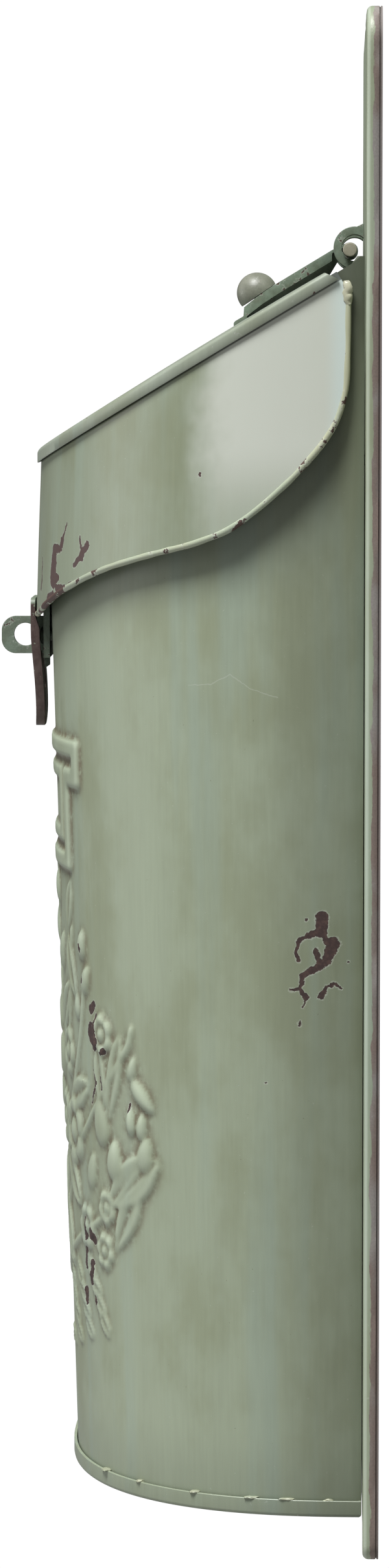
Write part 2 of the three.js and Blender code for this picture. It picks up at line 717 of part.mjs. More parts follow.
const SIDES = [["left", -1], ["right", 1]];
const PLATE_BEHIND = PLATE_FRONT + SHEET;

function rivets() {
  const made = [];
  for (const [name, side] of SIDES) {
    made.push(piece(
      `bracket_rivet_${name}`,
      rivet(side * bracketMiddle(), BRACKET.rivetHeight, PLATE_FRONT - GAP - BRACKET.strip, PLATE_BEHIND),
      "darkPaint",
    ));
    made.push(piece(
      `staple_rivet_${name}`,
      rivet(
        side * STAPLE.rivet.x, STAPLE.rivet.z, STAPLE.base.front,
        bodyFront(STAPLE.rivet.z) + SHEET, 1.1,
      ),
      "darkPaint",
    ));
    for (const [row, height] of BODY_RIVETS.heights.entries()) {
      made.push(piece(
        `body_rivet_${name}_${row + 1}`,
        rivet(side * bodyRivetX(height), height, PLATE_FRONT - GAP - SHEET, PLATE_BEHIND),
        "sagePaint",
      ));
    }
  }
  return made;
}

// ---- Assembly ----

const mailbox = new THREE.Group();
mailbox.add(
  piece("back_plate", backPlate(), "sagePaint"),
  piece("body_shell", bodyShell(), "sagePaint"),
  piece("bottom_pan", bottomPan(), "sagePaint"),
  piece("hinge_pin", hingePin(), "darkPaint"),
  piece("staple", staple(), "darkPaint"),
  piece("lid_top", lidTop(), "palePaint"),
  piece("lid_skirt", lidSkirt(), "palePaint"),
  piece("skirt_hem", skirtHem(), "palePaint"),
  piece("hinge_strap", hingeStrap(), "darkPaint"),
  piece("lid_knob", lidKnob(), "darkPaint"),
  piece("knob_screw", knobScrew(), "darkPaint"),
  piece("hasp_strap", haspStrap(), "wornBrown"),
  ...SIDES.map(([name, side]) => piece(`hinge_bracket_${name}`, hingeBracket(side), "darkPaint")),
  ...rivets(),
);
mailbox.position.z = -PLATE.lip / 2;

export default mailbox;
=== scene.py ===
"""Looks of the wall mounted mailbox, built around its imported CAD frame.

Shapes are worked out in millimetres in the frame's own axes (+X right seen from the front, the wall
at Y = 0 with the front towards -Y, +Z up, Z = 0 on the middle of the back plate's lower lip) and are
turned into metres when their meshes are made.
"""

import math

import bmesh
import bpy
import numpy as np
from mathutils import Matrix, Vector
from mathutils.geometry import delaunay_2d_cdt
from mathutils.noise import noise


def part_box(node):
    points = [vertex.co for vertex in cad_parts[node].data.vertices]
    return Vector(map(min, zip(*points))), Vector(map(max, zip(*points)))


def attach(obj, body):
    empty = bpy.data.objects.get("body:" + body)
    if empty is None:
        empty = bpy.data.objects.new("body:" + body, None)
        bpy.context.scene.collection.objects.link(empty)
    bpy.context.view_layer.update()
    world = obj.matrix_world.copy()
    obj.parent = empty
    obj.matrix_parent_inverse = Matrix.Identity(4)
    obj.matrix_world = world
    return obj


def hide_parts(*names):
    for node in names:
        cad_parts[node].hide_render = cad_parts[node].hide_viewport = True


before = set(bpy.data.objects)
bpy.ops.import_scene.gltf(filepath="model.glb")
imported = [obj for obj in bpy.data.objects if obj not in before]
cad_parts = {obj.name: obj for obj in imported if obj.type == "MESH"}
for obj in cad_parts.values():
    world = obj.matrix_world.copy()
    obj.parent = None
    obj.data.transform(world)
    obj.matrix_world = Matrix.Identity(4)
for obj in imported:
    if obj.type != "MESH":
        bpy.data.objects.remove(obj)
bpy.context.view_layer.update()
MM = 0.001


def box_mm(node):
    """Lowest and highest corner of a CAD node in millimetres."""
    low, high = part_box(node)
    return np.array(low) / MM, np.array(high) / MM


# ---- Driving dimensions, from the frame and from the pressed shapes ----

SHEET = 0.9
GAP = 0.3
PLATE_LOW, PLATE_HIGH = box_mm("back_plate")
PLATE_FRONT = PLATE_LOW[1]
PLATE_CORNER = {"top": 11.0, "foot": 5.0}
PLATE_BEND = 1.7
PLATE_LIP = 8.0
FOOT = PLATE_LOW[2]

BODY_FOOT = box_mm("body_shell")[0][2]
BODY_FLANGE = 11.0
BODY_RIM_HEIGHT = FOOT + 380.0
BODY_EXPONENT = {"foot": 2.45, "rim": 2.28}
PAN_LOW, PAN_HIGH = box_mm("bottom_pan")
PAN_RIM = PAN_HIGH[2]
BODY_HALF_WIDTH = PAN_HIGH[0] - SHEET - GAP
BODY_DEPTH = PLATE_FRONT - PAN_LOW[1] - SHEET - GAP
WIDTH_TAPER = 0.028
DEPTH_TAPER = 0.03

LID_LOW, LID_HIGH = box_mm("lid_top")
LID_HALF_WIDTH = LID_HIGH[0]
LID_DEPTH = 101.0
LID_EXPONENT = 2.3
LID_SLOPE = 0.593
LID_REAR = FOOT + 376.8
LID_FLANGE = 4.0
LID_EDGE_BEND = 1.2
LID_CROWN = 1.0
LID_CROWN_INSET = 42.0
LID_REAR_CUT = {"y": -11.0, "up": 371.6, "run": 9.4, "drop": 4.2}
SKIRT_FLARE = 0.036
HEM_RADIUS = 0.85
# The hem's centre line from the side, as (y, z). Most of these are measured points, not chosen ones.
HEM_PROFILE = [
    (-9.2, 364.0), (-9.4, 346.0), (-10.4, 334.5), (-14.4, 324.4), (-25.2, 311.4), (-40.6, 298.2),
    (-52.2, 292.5), (-68.6, 287.7), (-80.5, 283.7), (-89.8, 279.1), (-98.2, 273.6), (-105.2, 266.6),
]


def lid_plane(y):
    """Height of the plane of the lid flange's lower edge."""
    return LID_REAR + LID_SLOPE * (y - PLATE_FRONT)


# ---- Mesh helpers ----

def add_mesh(name, points, faces, material, sharp=35.0):
    """A smooth-shaded mesh object from points in millimetres, its faces turned outwards."""
    mesh = bpy.data.meshes.new(name)
    mesh.from_pydata((np.asarray(points, float) * MM).tolist(), [], faces)
    return finish_mesh(name, mesh, material, sharp)


def finish_mesh(name, mesh, material, sharp=35.0):
    """Turns a mesh's faces outwards, shades it smooth up to an angle, and links it as an object."""
    work = bmesh.new()
    work.from_mesh(mesh)
    bmesh.ops.recalc_face_normals(work, faces=work.faces)
    work.to_mesh(mesh)
    work.free()
    mesh.shade_smooth()
    mesh.set_sharp_from_angle(angle=math.radians(sharp))
    mesh.materials.clear()
    mesh.materials.append(material)
    piece = bpy.data.objects.new(name, mesh)
    bpy.context.scene.collection.objects.link(piece)
    return piece


def place(piece, body, slot, *nodes):
    """Makes a piece ride on its body and stand for its CAD nodes; slot is not used."""
    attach(piece, body)
    if nodes:
        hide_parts(*nodes)
    return piece


def set_attribute(piece, name, values):
    """Stores one number per point for the materials to read."""
    attribute = piece.data.attributes.new(name, "FLOAT", "POINT")
    attribute.data.foreach_set("value", np.asarray(values, np.float32))


def grid_faces(rows, columns, start=0, wrap=False):
    """Quads over a grid of points stored row by row."""
    last = columns if wrap else columns - 1
    faces = []
    for row in range(rows - 1):
        for column in range(last):
            here = start + row * columns + column
            beside = start + row * columns + (column + 1) % columns
            faces.append((here, beside, beside + columns, here + columns))
    return faces


def loft(name, rings, material, sharp=35.0):
    """Skins a stack of equal closed rings and closes both ends."""
    count = len(rings[0])
    points = np.concatenate(rings)
    faces = grid_faces(len(rings), count, wrap=True)
    faces.append(tuple(range(count)))
    faces.append(tuple(range(len(points) - count, len(points))))
    return add_mesh(name, points, faces, material, sharp)


def refined(name, node, material, bevel=0.25, segments=2, sharp=30.0):
    """A copy of a CAD node with its flats joined and its edges rounded over."""
    mesh = bpy.data.meshes.new(name)
    work = bmesh.new()
    work.from_mesh(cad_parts[node].data)
    bmesh.ops.remove_doubles(work, verts=work.verts, dist=0.004 * MM)
    bmesh.ops.dissolve_limit(
        work, angle_limit=math.radians(1.0), verts=work.verts, edges=work.edges,
    )
    hard = [e for e in work.edges if len(e.link_faces) == 2
            and e.calc_face_angle() > math.radians(sharp)]
    bmesh.ops.bevel(
        work, geom=hard, offset=bevel * MM, segments=segments, profile=0.6, affect="EDGES",
        clamp_overlap=True,
    )
    bmesh.ops.triangulate(work, faces=[f for f in work.faces if len(f.verts) > 4])
    work.to_mesh(mesh)
    work.free()
    return finish_mesh(name, mesh, material, 50.0)


def superellipse(angles, exponent):
    """Unit plan outline: across from -1 to 1 and forward from 0 to 1, for angles 0 to pi."""
    across = -np.sign(np.cos(angles)) * np.abs(np.cos(angles)) ** (2 / exponent)
    forward = np.abs(np.sin(angles)) ** (2 / exponent)
    return across, forward


def catmull(points, steps):
    """A smooth curve through points, sampled evenly between each pair."""
    ends = [2 * points[0] - points[1], *points, 2 * points[-1] - points[-2]]
    curve = []
    for a, b, c, d in zip(ends, ends[1:], ends[2:], ends[3:]):
        for step in range(steps):
            t = step / steps
            curve.append(0.5 * (
                2 * b + (c - a) * t + (2 * a - 5 * b + 4 * c - d) * t ** 2
                + (3 * b - a - 3 * c + d) * t ** 3
            ))
    curve.append(points[-1])
    return np.array(curve)


# ---- Material helpers ----

def linear(red, green, blue):
    """A display colour from 0 to 255 as a linear colour."""
    def channel(value):
        share = value / 255
        return share / 12.92 if share <= 0.04045 else ((share + 0.055) / 1.055) ** 2.4
    return (channel(red), channel(green), channel(blue), 1.0)


SAGE = linear(150, 160, 138)
OLIVE_SAGE = linear(139, 147, 122)
TEAL_SAGE = linear(143, 158, 145)
PALE = linear(196, 200, 190)
GLAZE = linear(92, 88, 62)
DEEP = linear(56, 40, 38)
DEEP_WARM = linear(78, 58, 52)
EDGE_BROWN = linear(124, 110, 102)
EDGE_GREY = linear(140, 135, 130)
RECESS_GLAZE = linear(98, 88, 68)
CREST_HIGHLIGHT_SAGE = linear(178, 190, 168)
SHADE_SHARE = 0.5


class Graph:
    """A material's node tree with short calls for the nodes that the paints are made of."""

    def __init__(self, name):
        self.material = bpy.data.materials.new(name)
        self.material.use_nodes = True
        self.tree = self.material.node_tree
        self.shader = self.tree.nodes["Principled BSDF"]
        coordinates = self.node("ShaderNodeTexCoord")
        scaled = self.node("ShaderNodeVectorMath", operation="SCALE")
        scaled.inputs["Scale"].default_value = 1 / MM
        self.link(coordinates.outputs["Object"], scaled.inputs[0])
        self.place = scaled.outputs[0]
        split = self.node("ShaderNodeSeparateXYZ")
        self.link(self.place, split.inputs[0])
        self.x, self.y, self.z = split.outputs

    def node(self, kind, **settings):
        made = self.tree.nodes.new(kind)
        for key, value in settings.items():
            setattr(made, key, value)
        return made

    def link(self, source, target):
        self.tree.links.new(source, target)

    def feed(self, target, value):
        """Sets a socket to a number, or links it to another node's socket."""
        if isinstance(value, bpy.types.NodeSocket):
            self.link(value, target)
        else:
            target.default_value = value

    def math(self, operation, a, b=0.0, clamp=False):
        made = self.node("ShaderNodeMath", operation=operation, use_clamp=clamp)
        self.feed(made.inputs[0], a)
        self.feed(made.inputs[1], b)
        return made.outputs[0]

    def times(self, a, b, clamp=False):
        return self.math("MULTIPLY", a, b, clamp)

    def plus(self, a, b):
        return self.math("ADD", a, b)

    def minus(self, a, b):
        return self.math("SUBTRACT", a, b)

    def darken(self, colour, amount):
        """A colour with a share of its brightness taken away."""
        return self.shade(colour, self.minus(1.0, amount))

    def span(self, value, low, high):
        """0 below low and 1 above high; low may be the larger one."""
        made = self.node("ShaderNodeMapRange", interpolation_type="SMOOTHSTEP")
        self.feed(made.inputs["Value"], value)
        made.inputs["From Min"].default_value = low
        made.inputs["From Max"].default_value = high
        return made.outputs[0]

    def stretched(self, sx, sy, sz, offset=0.0):
        made = self.node("ShaderNodeMapping")
        made.inputs["Scale"].default_value = (sx, sy, sz)
        made.inputs["Location"].default_value = (offset, offset, offset)
        self.link(self.place, made.inputs["Vector"])
        return made.outputs[0]

    def noise(self, vector, scale=1.0, detail=3.0, rough=0.55, colour=False):
        made = self.node("ShaderNodeTexNoise")
        self.link(vector, made.inputs["Vector"])
        made.inputs["Scale"].default_value = scale
        made.inputs["Detail"].default_value = detail
        made.inputs["Roughness"].default_value = rough
        return made.outputs["Color" if colour else "Fac"]

    def mix(self, share, a, b):
        made = self.node("ShaderNodeMix", data_type="RGBA")
        self.feed(made.inputs[0], share)
        self.feed(made.inputs[6], a)
        self.feed(made.inputs[7], b)
        return made.outputs[2]

    def shade(self, colour, factor):
        """A colour made lighter or darker by a number."""
        made = self.node("ShaderNodeVectorMath", operation="SCALE")
        self.feed(made.inputs[0], colour)
        self.feed(made.inputs["Scale"], factor)
        return made.outputs[0]

    def attribute(self, name):
        made = self.node("ShaderNodeAttribute", attribute_name=name)
        return made.outputs["Fac"]

    def flat_point(self, u, v, wander=0.0, grain=2.5):
        """(u, v, 0) with its place shifted by a noise, so that drawn edges turn ragged."""
        joined = self.node("ShaderNodeCombineXYZ")
        self.feed(joined.inputs[0], u)
        self.feed(joined.inputs[1], v)
        if not wander:
            return joined.outputs[0]
        rough = self.noise(self.place, 1 / grain, 4.0, 0.7, colour=True)
        centred = self.node("ShaderNodeVectorMath", operation="SUBTRACT")
        self.link(rough, centred.inputs[0])
        centred.inputs[1].default_value = (0.5, 0.5, 0.5)
        sized = self.node("ShaderNodeVectorMath", operation="MULTIPLY")
        self.link(centred.outputs[0], sized.inputs[0])
        sized.inputs[1].default_value = (2 * wander, 2 * wander, 0)
        moved = self.node("ShaderNodeVectorMath", operation="ADD")
        self.link(joined.outputs[0], moved.inputs[0])
        self.link(sized.outputs[0], moved.inputs[1])
        return moved.outputs[0]

    def strokes(self, point, centre, strokes, spread=1.0):
        """Distance from a flat point to the nearest tapering stroke, with all widths spread."""
        nearest = None
        for u1, v1, u2, v2, wide1, wide2 in strokes:
            made = self.node("ShaderNodeGroup", node_tree=stroke_group())
            self.link(point, made.inputs["Point"])
            made.inputs["Start"].default_value = (centre[0] + u1, centre[1] + v1, 0)
            run = (u2 - u1, v2 - v1, 0)
            made.inputs["Run"].default_value = run
            made.inputs["Per Run Squared"].default_value = 1 / max(run[0] ** 2 + run[1] ** 2, 1e-4)
            made.inputs["Start Width"].default_value = spread * wide1
            made.inputs["Widening"].default_value = spread * (wide2 - wide1)
            nearest = made.outputs[0] if nearest is None else self.math(
                "MINIMUM", nearest, made.outputs[0])
        return nearest

    def finish(self, colour, roughness, height=None, depth=0.05, metallic=0.0, specular=0.5):
        """Wires the shader. Height is in millimetres once it is multiplied by depth."""
        self.feed(self.shader.inputs["Base Color"], colour)
        self.feed(self.shader.inputs["Roughness"], roughness)
        self.feed(self.shader.inputs["Metallic"], metallic)
        self.shader.inputs["Specular IOR Level"].default_value = specular
        if height is not None:
            bump = self.node("ShaderNodeBump")
            bump.inputs["Distance"].default_value = depth * MM
            self.feed(bump.inputs["Height"], height)
            self.link(bump.outputs[0], self.shader.inputs["Normal"])
        return self.material


def stroke_group():
    """Node group: distance from a point to a straight stroke whose half width changes evenly."""
    name = "tapering_stroke"
    if name in bpy.data.node_groups:
        return bpy.data.node_groups[name]
    tree = bpy.data.node_groups.new(name, "ShaderNodeTree")
    for socket, kind in (
        ("Point", "NodeSocketVector"), ("Start", "NodeSocketVector"), ("Run", "NodeSocketVector"),
        ("Per Run Squared", "NodeSocketFloat"), ("Start Width", "NodeSocketFloat"),
        ("Widening", "NodeSocketFloat"),
    ):
        tree.interface.new_socket(socket, in_out="INPUT", socket_type=kind)
    tree.interface.new_socket("Distance", in_out="OUTPUT", socket_type="NodeSocketFloat")
    given = tree.nodes.new("NodeGroupInput").outputs
    answer = tree.nodes.new("NodeGroupOutput").inputs

    def vector_math(operation, a, b, socket=0):
        made = tree.nodes.new("ShaderNodeVectorMath")
        made.operation = operation
        tree.links.new(a, made.inputs[0])
        tree.links.new(b, made.inputs["Scale" if operation == "SCALE" else 1])
        return made.outputs[socket]

    def number_math(operation, a, b, clamp=False):
        made = tree.nodes.new("ShaderNodeMath")
        made.operation = operation
        made.use_clamp = clamp
        tree.links.new(a, made.inputs[0])
        tree.links.new(b, made.inputs[1])
        return made.outputs[0]

    offset = vector_math("SUBTRACT", given["Point"], given["Start"])
    dot = vector_math("DOT_PRODUCT", offset, given["Run"], 1)
    share = number_math("MULTIPLY", dot, given["Per Run Squared"], clamp=True)
    along = vector_math("SCALE", given["Run"], share)
    aside = vector_math("SUBTRACT", offset, along)
    length = vector_math("LENGTH", aside, aside, 1)
    width = number_math("ADD", number_math("MULTIPLY", given["Widening"], share), given["Start Width"])
    tree.links.new(number_math("SUBTRACT", length, width), answer[0])
    return tree


# ---- Paints ----

def brushed(graph):
    """Fine upright brush marks, broad uneven tone, and blotches: three noises about 0.5."""
    fine = graph.noise(graph.stretched(0.9, 0.9, 0.045), 1.0, 3.0, 0.6)
    broad = graph.noise(graph.stretched(0.09, 0.09, 0.006), 1.0, 2.0, 0.5)
    blotch = graph.noise(graph.stretched(0.03, 0.03, 0.02, 7.0), 1.0, 4.0, 0.6)
    return fine, broad, blotch


def paint_colour(graph, base=SAGE, dull=OLIVE_SAGE, cool=TEAL_SAGE, streak=0.16):
    """Thin sage paint over a darker coat, brushed downwards."""
    fine, broad, blotch = brushed(graph)
    colour = graph.mix(graph.span(blotch, 0.40, 0.66), base, dull)
    colour = graph.mix(graph.times(graph.span(broad, 0.48, 0.72), 0.5), colour, cool)
    tone = graph.plus(graph.times(fine, streak),
                      graph.times(broad, streak))
    colour = graph.shade(colour, graph.plus(tone, 1.0 - streak))
    specks = graph.noise(graph.place, 1.1, 2.0, 0.5)
    pale_speck = graph.times(graph.span(specks, 0.72, 0.80), 0.25)
    dark_speck = graph.times(graph.span(specks, 0.235, 0.20), 0.5)
    colour = graph.mix(pale_speck, colour, PALE)
    colour = graph.mix(dark_speck, colour, GLAZE)
    return colour, fine


def chipped(graph, colour, distance, height, deep=DEEP):
    """Bare dark coat where distance is below zero, with a pale broken edge of paint round it."""
    chip = graph.span(distance, 0.10, -0.06)
    rim = graph.times(graph.span(distance, 0.5, 0.12), 0.30)
    colour = graph.mix(rim, colour, PALE)
    grain = graph.noise(graph.place, 0.8, 3.0)
    bare = graph.mix(graph.span(grain, 0.4, 0.75), deep, DEEP_WARM)
    colour = graph.mix(chip, colour, bare)
    height = graph.minus(height, graph.times(chip, 2.2))
    return colour, height, chip


def random_chips(graph, amount, scale=0.35):
    """Scattered little chips as a distance: the larger the amount, the more there are."""
    patches = graph.noise(graph.stretched(scale, scale, scale, 31.0), 1.0, 5.0, 0.62)
    return graph.times(graph.minus(1.0 - amount, patches), 8.0)


# Strokes of bare coat, each as start and end along the wall and upwards, then its half width at both.
SIDE_CHIP_CENTRE = (150.5, 169.5)
SIDE_CHIP = [
    (1.6, 13.4, 1.2, 8.6, 1.9, 1.7), (1.0, 9.2, -5.0, 6.6, 1.1, 0.55),
    (-5.0, 6.6, -6.2, 3.2, 0.6, 0.45), (-6.2, 3.2, -5.4, 0.4, 0.45, 0.55),
    (1.6, 8.4, 4.0, 4.4, 0.6, 1.2), (4.9, 5.6, 2.6, 0.2, 1.9, 1.4),
    (2.6, 0.2, -1.0, -2.2, 1.3, 1.1), (-1.0, -2.2, -3.8, -3.9, 1.1, 0.9),
    (-3.8, -4.0, -5.0, -7.8, 0.7, 0.5), (-5.0, -7.9, -7.8, -8.4, 0.4, 0.25),
    (-4.8, -7.8, -3.2, -10.6, 0.4, 0.85), (-3.2, -10.8, -4.1, -13.4, 0.35, 0.2),
    (-0.2, 3.5, 0.5, 0.2, 0.75, 0.8), (1.2, -9.9, 2.8, -7.6, 0.95, 0.4),
    (2.8, -7.6, 4.9, -6.2, 0.35, 0.5), (4.9, -6.2, 7.3, -7.6, 0.35, 0.2),
    (9.2, 0.3, 9.2, 0.3, 0.3, 0.3), (-5.0, -18.0, -5.0, -18.6, 0.35, 0.3),
    (-3.0, 12.4, -3.0, 12.4, 0.35, 0.3), (-15.0, -36.0, -15.0, -36.0, 0.3, 0.3),
]
RELIEF_CHIPS = [
    (58.0, 168.5, 58.3, 167.0, 0.3, 0.5), (58.6, 159.5, 59.0, 158.0, 0.6, 0.8),
    (64.0, 149.5, 66.0, 151.0, 1.1, 0.8), (64.0, 142.6, 66.4, 139.6, 2.0, 1.7),
    (67.6, 148.0, 67.2, 143.6, 0.4, 0.5), (71.8, 137.0, 73.5, 138.0, 0.5, 0.7),
    (65.0, 131.0, 67.6, 127.4, 0.35, 0.4), (67.6, 127.4, 64.2, 124.0, 0.5, 0.35),
    (64.2, 124.0, 63.0, 120.6, 0.35, 0.2), (70.4, 129.4, 71.4, 126.4, 0.3, 0.4),
    (86.8, 123.0, 85.6, 120.4, 0.4, 0.25), (66.0, 117.0, 66.4, 113.0, 0.3, 0.25),
    (55.0, 84.0, 56.0, 79.0, 0.6, 0.9), (60.5, 80.5, 62.5, 78.5, 1.2, 0.8),
    (54.5, 74.5, 53.5, 70.0, 0.8, 1.1), (60.4, 71.0, 59.6, 66.0, 0.9, 1.1),
    (53.0, 62.0, 54.0, 58.0, 0.9, 0.4), (62.5, 61.0, 63.0, 59.0, 0.4, 0.5),
    (2.0, 136.0, 6.0, 133.0, 1.1, 0.5), (-61.0, 128.0, -63.0, 123.0, 0.9, 0.6),
    (-66.0, 95.0, -64.0, 90.0, 0.8, 0.5), (-40.0, 172.0, -42.0, 168.0, 0.5, 0.7),
]
HAIRLINE = [
    (112.0, 250.0, 119.0, 250.5, 0.05, 0.09), (119.0, 250.5, 125.0, 253.5, 0.09, 0.11),
    (125.0, 253.5, 131.0, 249.5, 0.1, 0.07), (131.0, 249.5, 139.0, 247.0, 0.07, 0.1),
]
RELIEF_CHIP_SPREAD = 1.55
LID_CHIP_SPREAD = 1.2
CHIPS = {
    "side": (SIDE_CHIP_CENTRE, SIDE_CHIP, 1.0),
    "relief": ((0, 0), RELIEF_CHIPS, RELIEF_CHIP_SPREAD),
}
LID_CHIPS = [
    (55.6, 287.5, 53.6, 279.0, 1.9, 2.7), (56.0, 288.0, 61.5, 288.6, 1.3, 0.7),
    (61.5, 288.6, 62.4, 291.4, 0.75, 0.5), (62.4, 289.6, 66.8, 296.0, 0.8, 0.35),
    (53.6, 279.0, 59.0, 279.6, 2.0, 0.8), (37.5, 284.6, 36.5, 278.0, 0.3, 0.75),
    (36.5, 278.0, 34.0, 275.0, 0.75, 0.6), (72.5, 284.0, 77.5, 287.0, 0.6, 1.0),
    (77.0, 286.6, 80.6, 290.0, 1.2, 1.0), (77.4, 288.0, 76.2, 292.4, 0.5, 0.35),
    (57.0, 276.5, 67.0, 276.8, 1.0, 0.6), (68.0, 278.0, 78.0, 279.6, 0.45, 0.6),
    (47.0, 273.0, 54.0, 274.0, 1.0, 1.1), (128.0, 312.0, 128.2, 311.6, 0.35, 0.3),
]


def body_paint(name, region=None):
    """The body's paint: painted shade towards the back plate and under the lid's hem, glaze in recesses,
    and darker towards the foot.
    Each region of the wall draws its own chips, because one material can't hold them all."""
    graph = Graph(name)
    colour, fine = paint_colour(graph)
    # Painted shade: the body is darkened towards the back plate, where the plate keeps light off it.
    painted_plate_shade = graph.times(graph.span(graph.y, -44.0, -6.0), 0.34)
    colour = graph.darken(colour, painted_plate_shade)
    # Painted shadow under the lid's hem, darkest just below it.
    painted_hem_shadow = graph.times(graph.attribute("painted_hem_shadow"), SHADE_SHARE)
    colour = graph.darken(colour, painted_hem_shadow)
    # Darker towards the foot.
    foot = graph.times(graph.span(graph.z, PAN_RIM + 22.0, PAN_RIM), 0.16)
    colour = graph.darken(colour, foot)
    grain = graph.noise(graph.place, 2.4, 2.0)
    height = graph.plus(graph.times(fine, 0.5), graph.times(grain, 0.3))
    rough = graph.plus(graph.times(fine, 0.16), 0.36)
    if region == "relief":
        settled = graph.noise(graph.place, 0.5, 3.0)
        glaze = graph.times(graph.attribute("recess"),
                           graph.span(settled, 0.2, 0.6), clamp=True)
        colour = graph.mix(graph.times(glaze, 0.85), colour, RECESS_GLAZE)
        # Painted highlight: the relief's crests are painted paler.
        proud = graph.times(graph.attribute("proud"), 0.6, clamp=True)
        colour = graph.mix(proud, colour, CREST_HIGHLIGHT_SAGE)
    if region in CHIPS:
        centre, drawn, spread = CHIPS[region]
        point = graph.flat_point(graph.attribute("arc"), graph.z, wander=1.2, grain=2.0)
        distance = graph.strokes(point, centre, drawn, spread)
        colour, height, chip = chipped(graph, colour, distance, height)
        rough = graph.plus(rough, graph.times(chip, 0.2))
    if region == "hairline":
        point = graph.flat_point(graph.attribute("arc"), graph.z, wander=0.5)
        line = graph.strokes(point, (0, 0), HAIRLINE)
        colour = graph.mix(graph.times(graph.span(line, 0.12, 0.0), 0.22), colour, PALE)
    if region == "foot":
        colour, height, chip = chipped(graph, colour, random_chips(graph, 0.27), height)
    return graph.finish(colour, rough, height, 0.04)


def lid_paint(name, flank=True):
    """The lid's paint: a painted highlight pale on its flanks behind, a painted shade line under its edge
    band, green in front, chipped at the hem.
    """
    graph = Graph(name)
    base = linear(139, 148, 128) if flank else linear(150, 158, 144)
    dull = linear(130, 137, 113) if flank else linear(136, 143, 124)
    colour, fine = paint_colour(graph, base=base, dull=dull)
    grain = graph.noise(graph.place, 2.4, 2.0)
    height = graph.plus(graph.times(fine, 0.3), graph.times(grain, 0.3))
    if flank:
        # Painted highlight: the skirt's flanks behind are painted pale where a soft light is reflected,
        # fading lower down.
        waver = graph.times(graph.noise(graph.place, 0.06, 3.0), 14.0)
        rear = graph.plus(graph.y, waver)
        high = graph.plus(graph.times(graph.span(graph.z, 296.0, 322.0), 0.7), 0.3)
        painted_sheen = graph.times(graph.times(graph.span(rear, -50.0, -37.0), 0.88), high)
        colour = graph.mix(painted_sheen, colour, PALE)
        # Painted highlight: paler and bluer still at the skirt's rear edge.
        edge = graph.times(graph.span(graph.y, -17.0, -11.0), 0.6)
        colour = graph.mix(edge, colour, linear(192, 208, 206))
        # Painted shade: a thin dark line just below the lid plane, in the gap under the edge band.
        slant = graph.times(graph.y, -LID_SLOPE)
        above = graph.plus(graph.z, slant)
        level = LID_REAR - LID_SLOPE * PLATE_FRONT
        shade_line = graph.times(graph.span(above, level - 0.75, level - 0.35), 0.75)
        colour = graph.darken(colour, shade_line)
        point = graph.flat_point(graph.attribute("arc"), graph.z, wander=1.4, grain=2.4)
        distance = graph.strokes(point, (0, 0), LID_CHIPS, LID_CHIP_SPREAD)
        colour, height, chip = chipped(graph, colour, distance, height, linear(80, 63, 61))
        rough = graph.plus(graph.times(chip, 0.25), 0.33)
    else:
        colour, height, chip = chipped(graph, colour, random_chips(graph, 0.29), height, DEEP_WARM)
        rough = graph.plus(graph.times(chip, 0.2), 0.36)
    return graph.finish(colour, rough, height, 0.03)


def bead_paint(name, base, wear_amount=0.40):
    """Paint over a thin raised edge: pale on its crest and worn brown in patches."""
    graph = Graph(name)
    colour, fine = paint_colour(graph, base=base, dull=linear(166, 168, 142), streak=0.1)
    front = graph.times(graph.span(graph.y, -88.0, -102.0), 1.1)
    distance = graph.minus(random_chips(graph, wear_amount, 0.16), front)
    colour, height, chip = chipped(graph, colour, distance, fine, DEEP_WARM)
    rough = graph.plus(graph.times(chip, 0.2), 0.38)
    return graph.finish(colour, rough, height, 0.05)


def plate_paint(name):
    """The back plate's paint: sage in front, and its turned rim worn to brown and grey metal."""
    graph = Graph(name)
    colour, fine = paint_colour(graph)
    front = graph.span(graph.y, PLATE_FRONT + 1.35, PLATE_FRONT + 0.9)
    bend = graph.times(graph.span(graph.y, PLATE_FRONT + 0.05, PLATE_FRONT + 0.5), front)
    colour = graph.mix(graph.times(bend, 0.35), colour, linear(196, 206, 192))
    patches = graph.noise(graph.stretched(0.05, 0.05, 0.028, 3.0), 1.0, 4.0, 0.6)
    brown = graph.mix(graph.span(patches, 0.42, 0.6), EDGE_BROWN, EDGE_GREY)
    grain = graph.noise(graph.place, 1.6, 4.0, 0.7)
    brown = graph.shade(brown, graph.plus(graph.times(grain, 0.7), 0.62))
    ragged = graph.noise(graph.stretched(0.3, 0.3, 0.07, 11.0), 1.0, 5.0, 0.65)
    reach = graph.plus(graph.y, graph.times(graph.minus(0.5, ragged), 3.2))
    worn = graph.span(reach, PLATE_FRONT + 1.95, PLATE_FRONT + 2.2)
    colour = graph.mix(worn, colour, brown)
    lip = graph.span(graph.y, PLATE_HIGH[1] - 0.5, PLATE_HIGH[1] - 0.4)
    # Painted shade: the groove in front of the lip is painted dark.
    shade_line = graph.minus(graph.span(graph.y, PLATE_HIGH[1] - 1.0, PLATE_HIGH[1] - 0.82), lip)
    colour = graph.darken(colour, graph.times(shade_line, 0.6))
    colour = graph.mix(graph.times(lip, 0.7), colour, linear(134, 127, 124))
    distance = random_chips(graph, 0.26, 0.25)
    colour, height, chip = chipped(graph, colour, distance, graph.plus(fine, grain))
    rough = graph.plus(graph.times(worn, 0.18), 0.4)
    return graph.finish(colour, rough, height, 0.05)


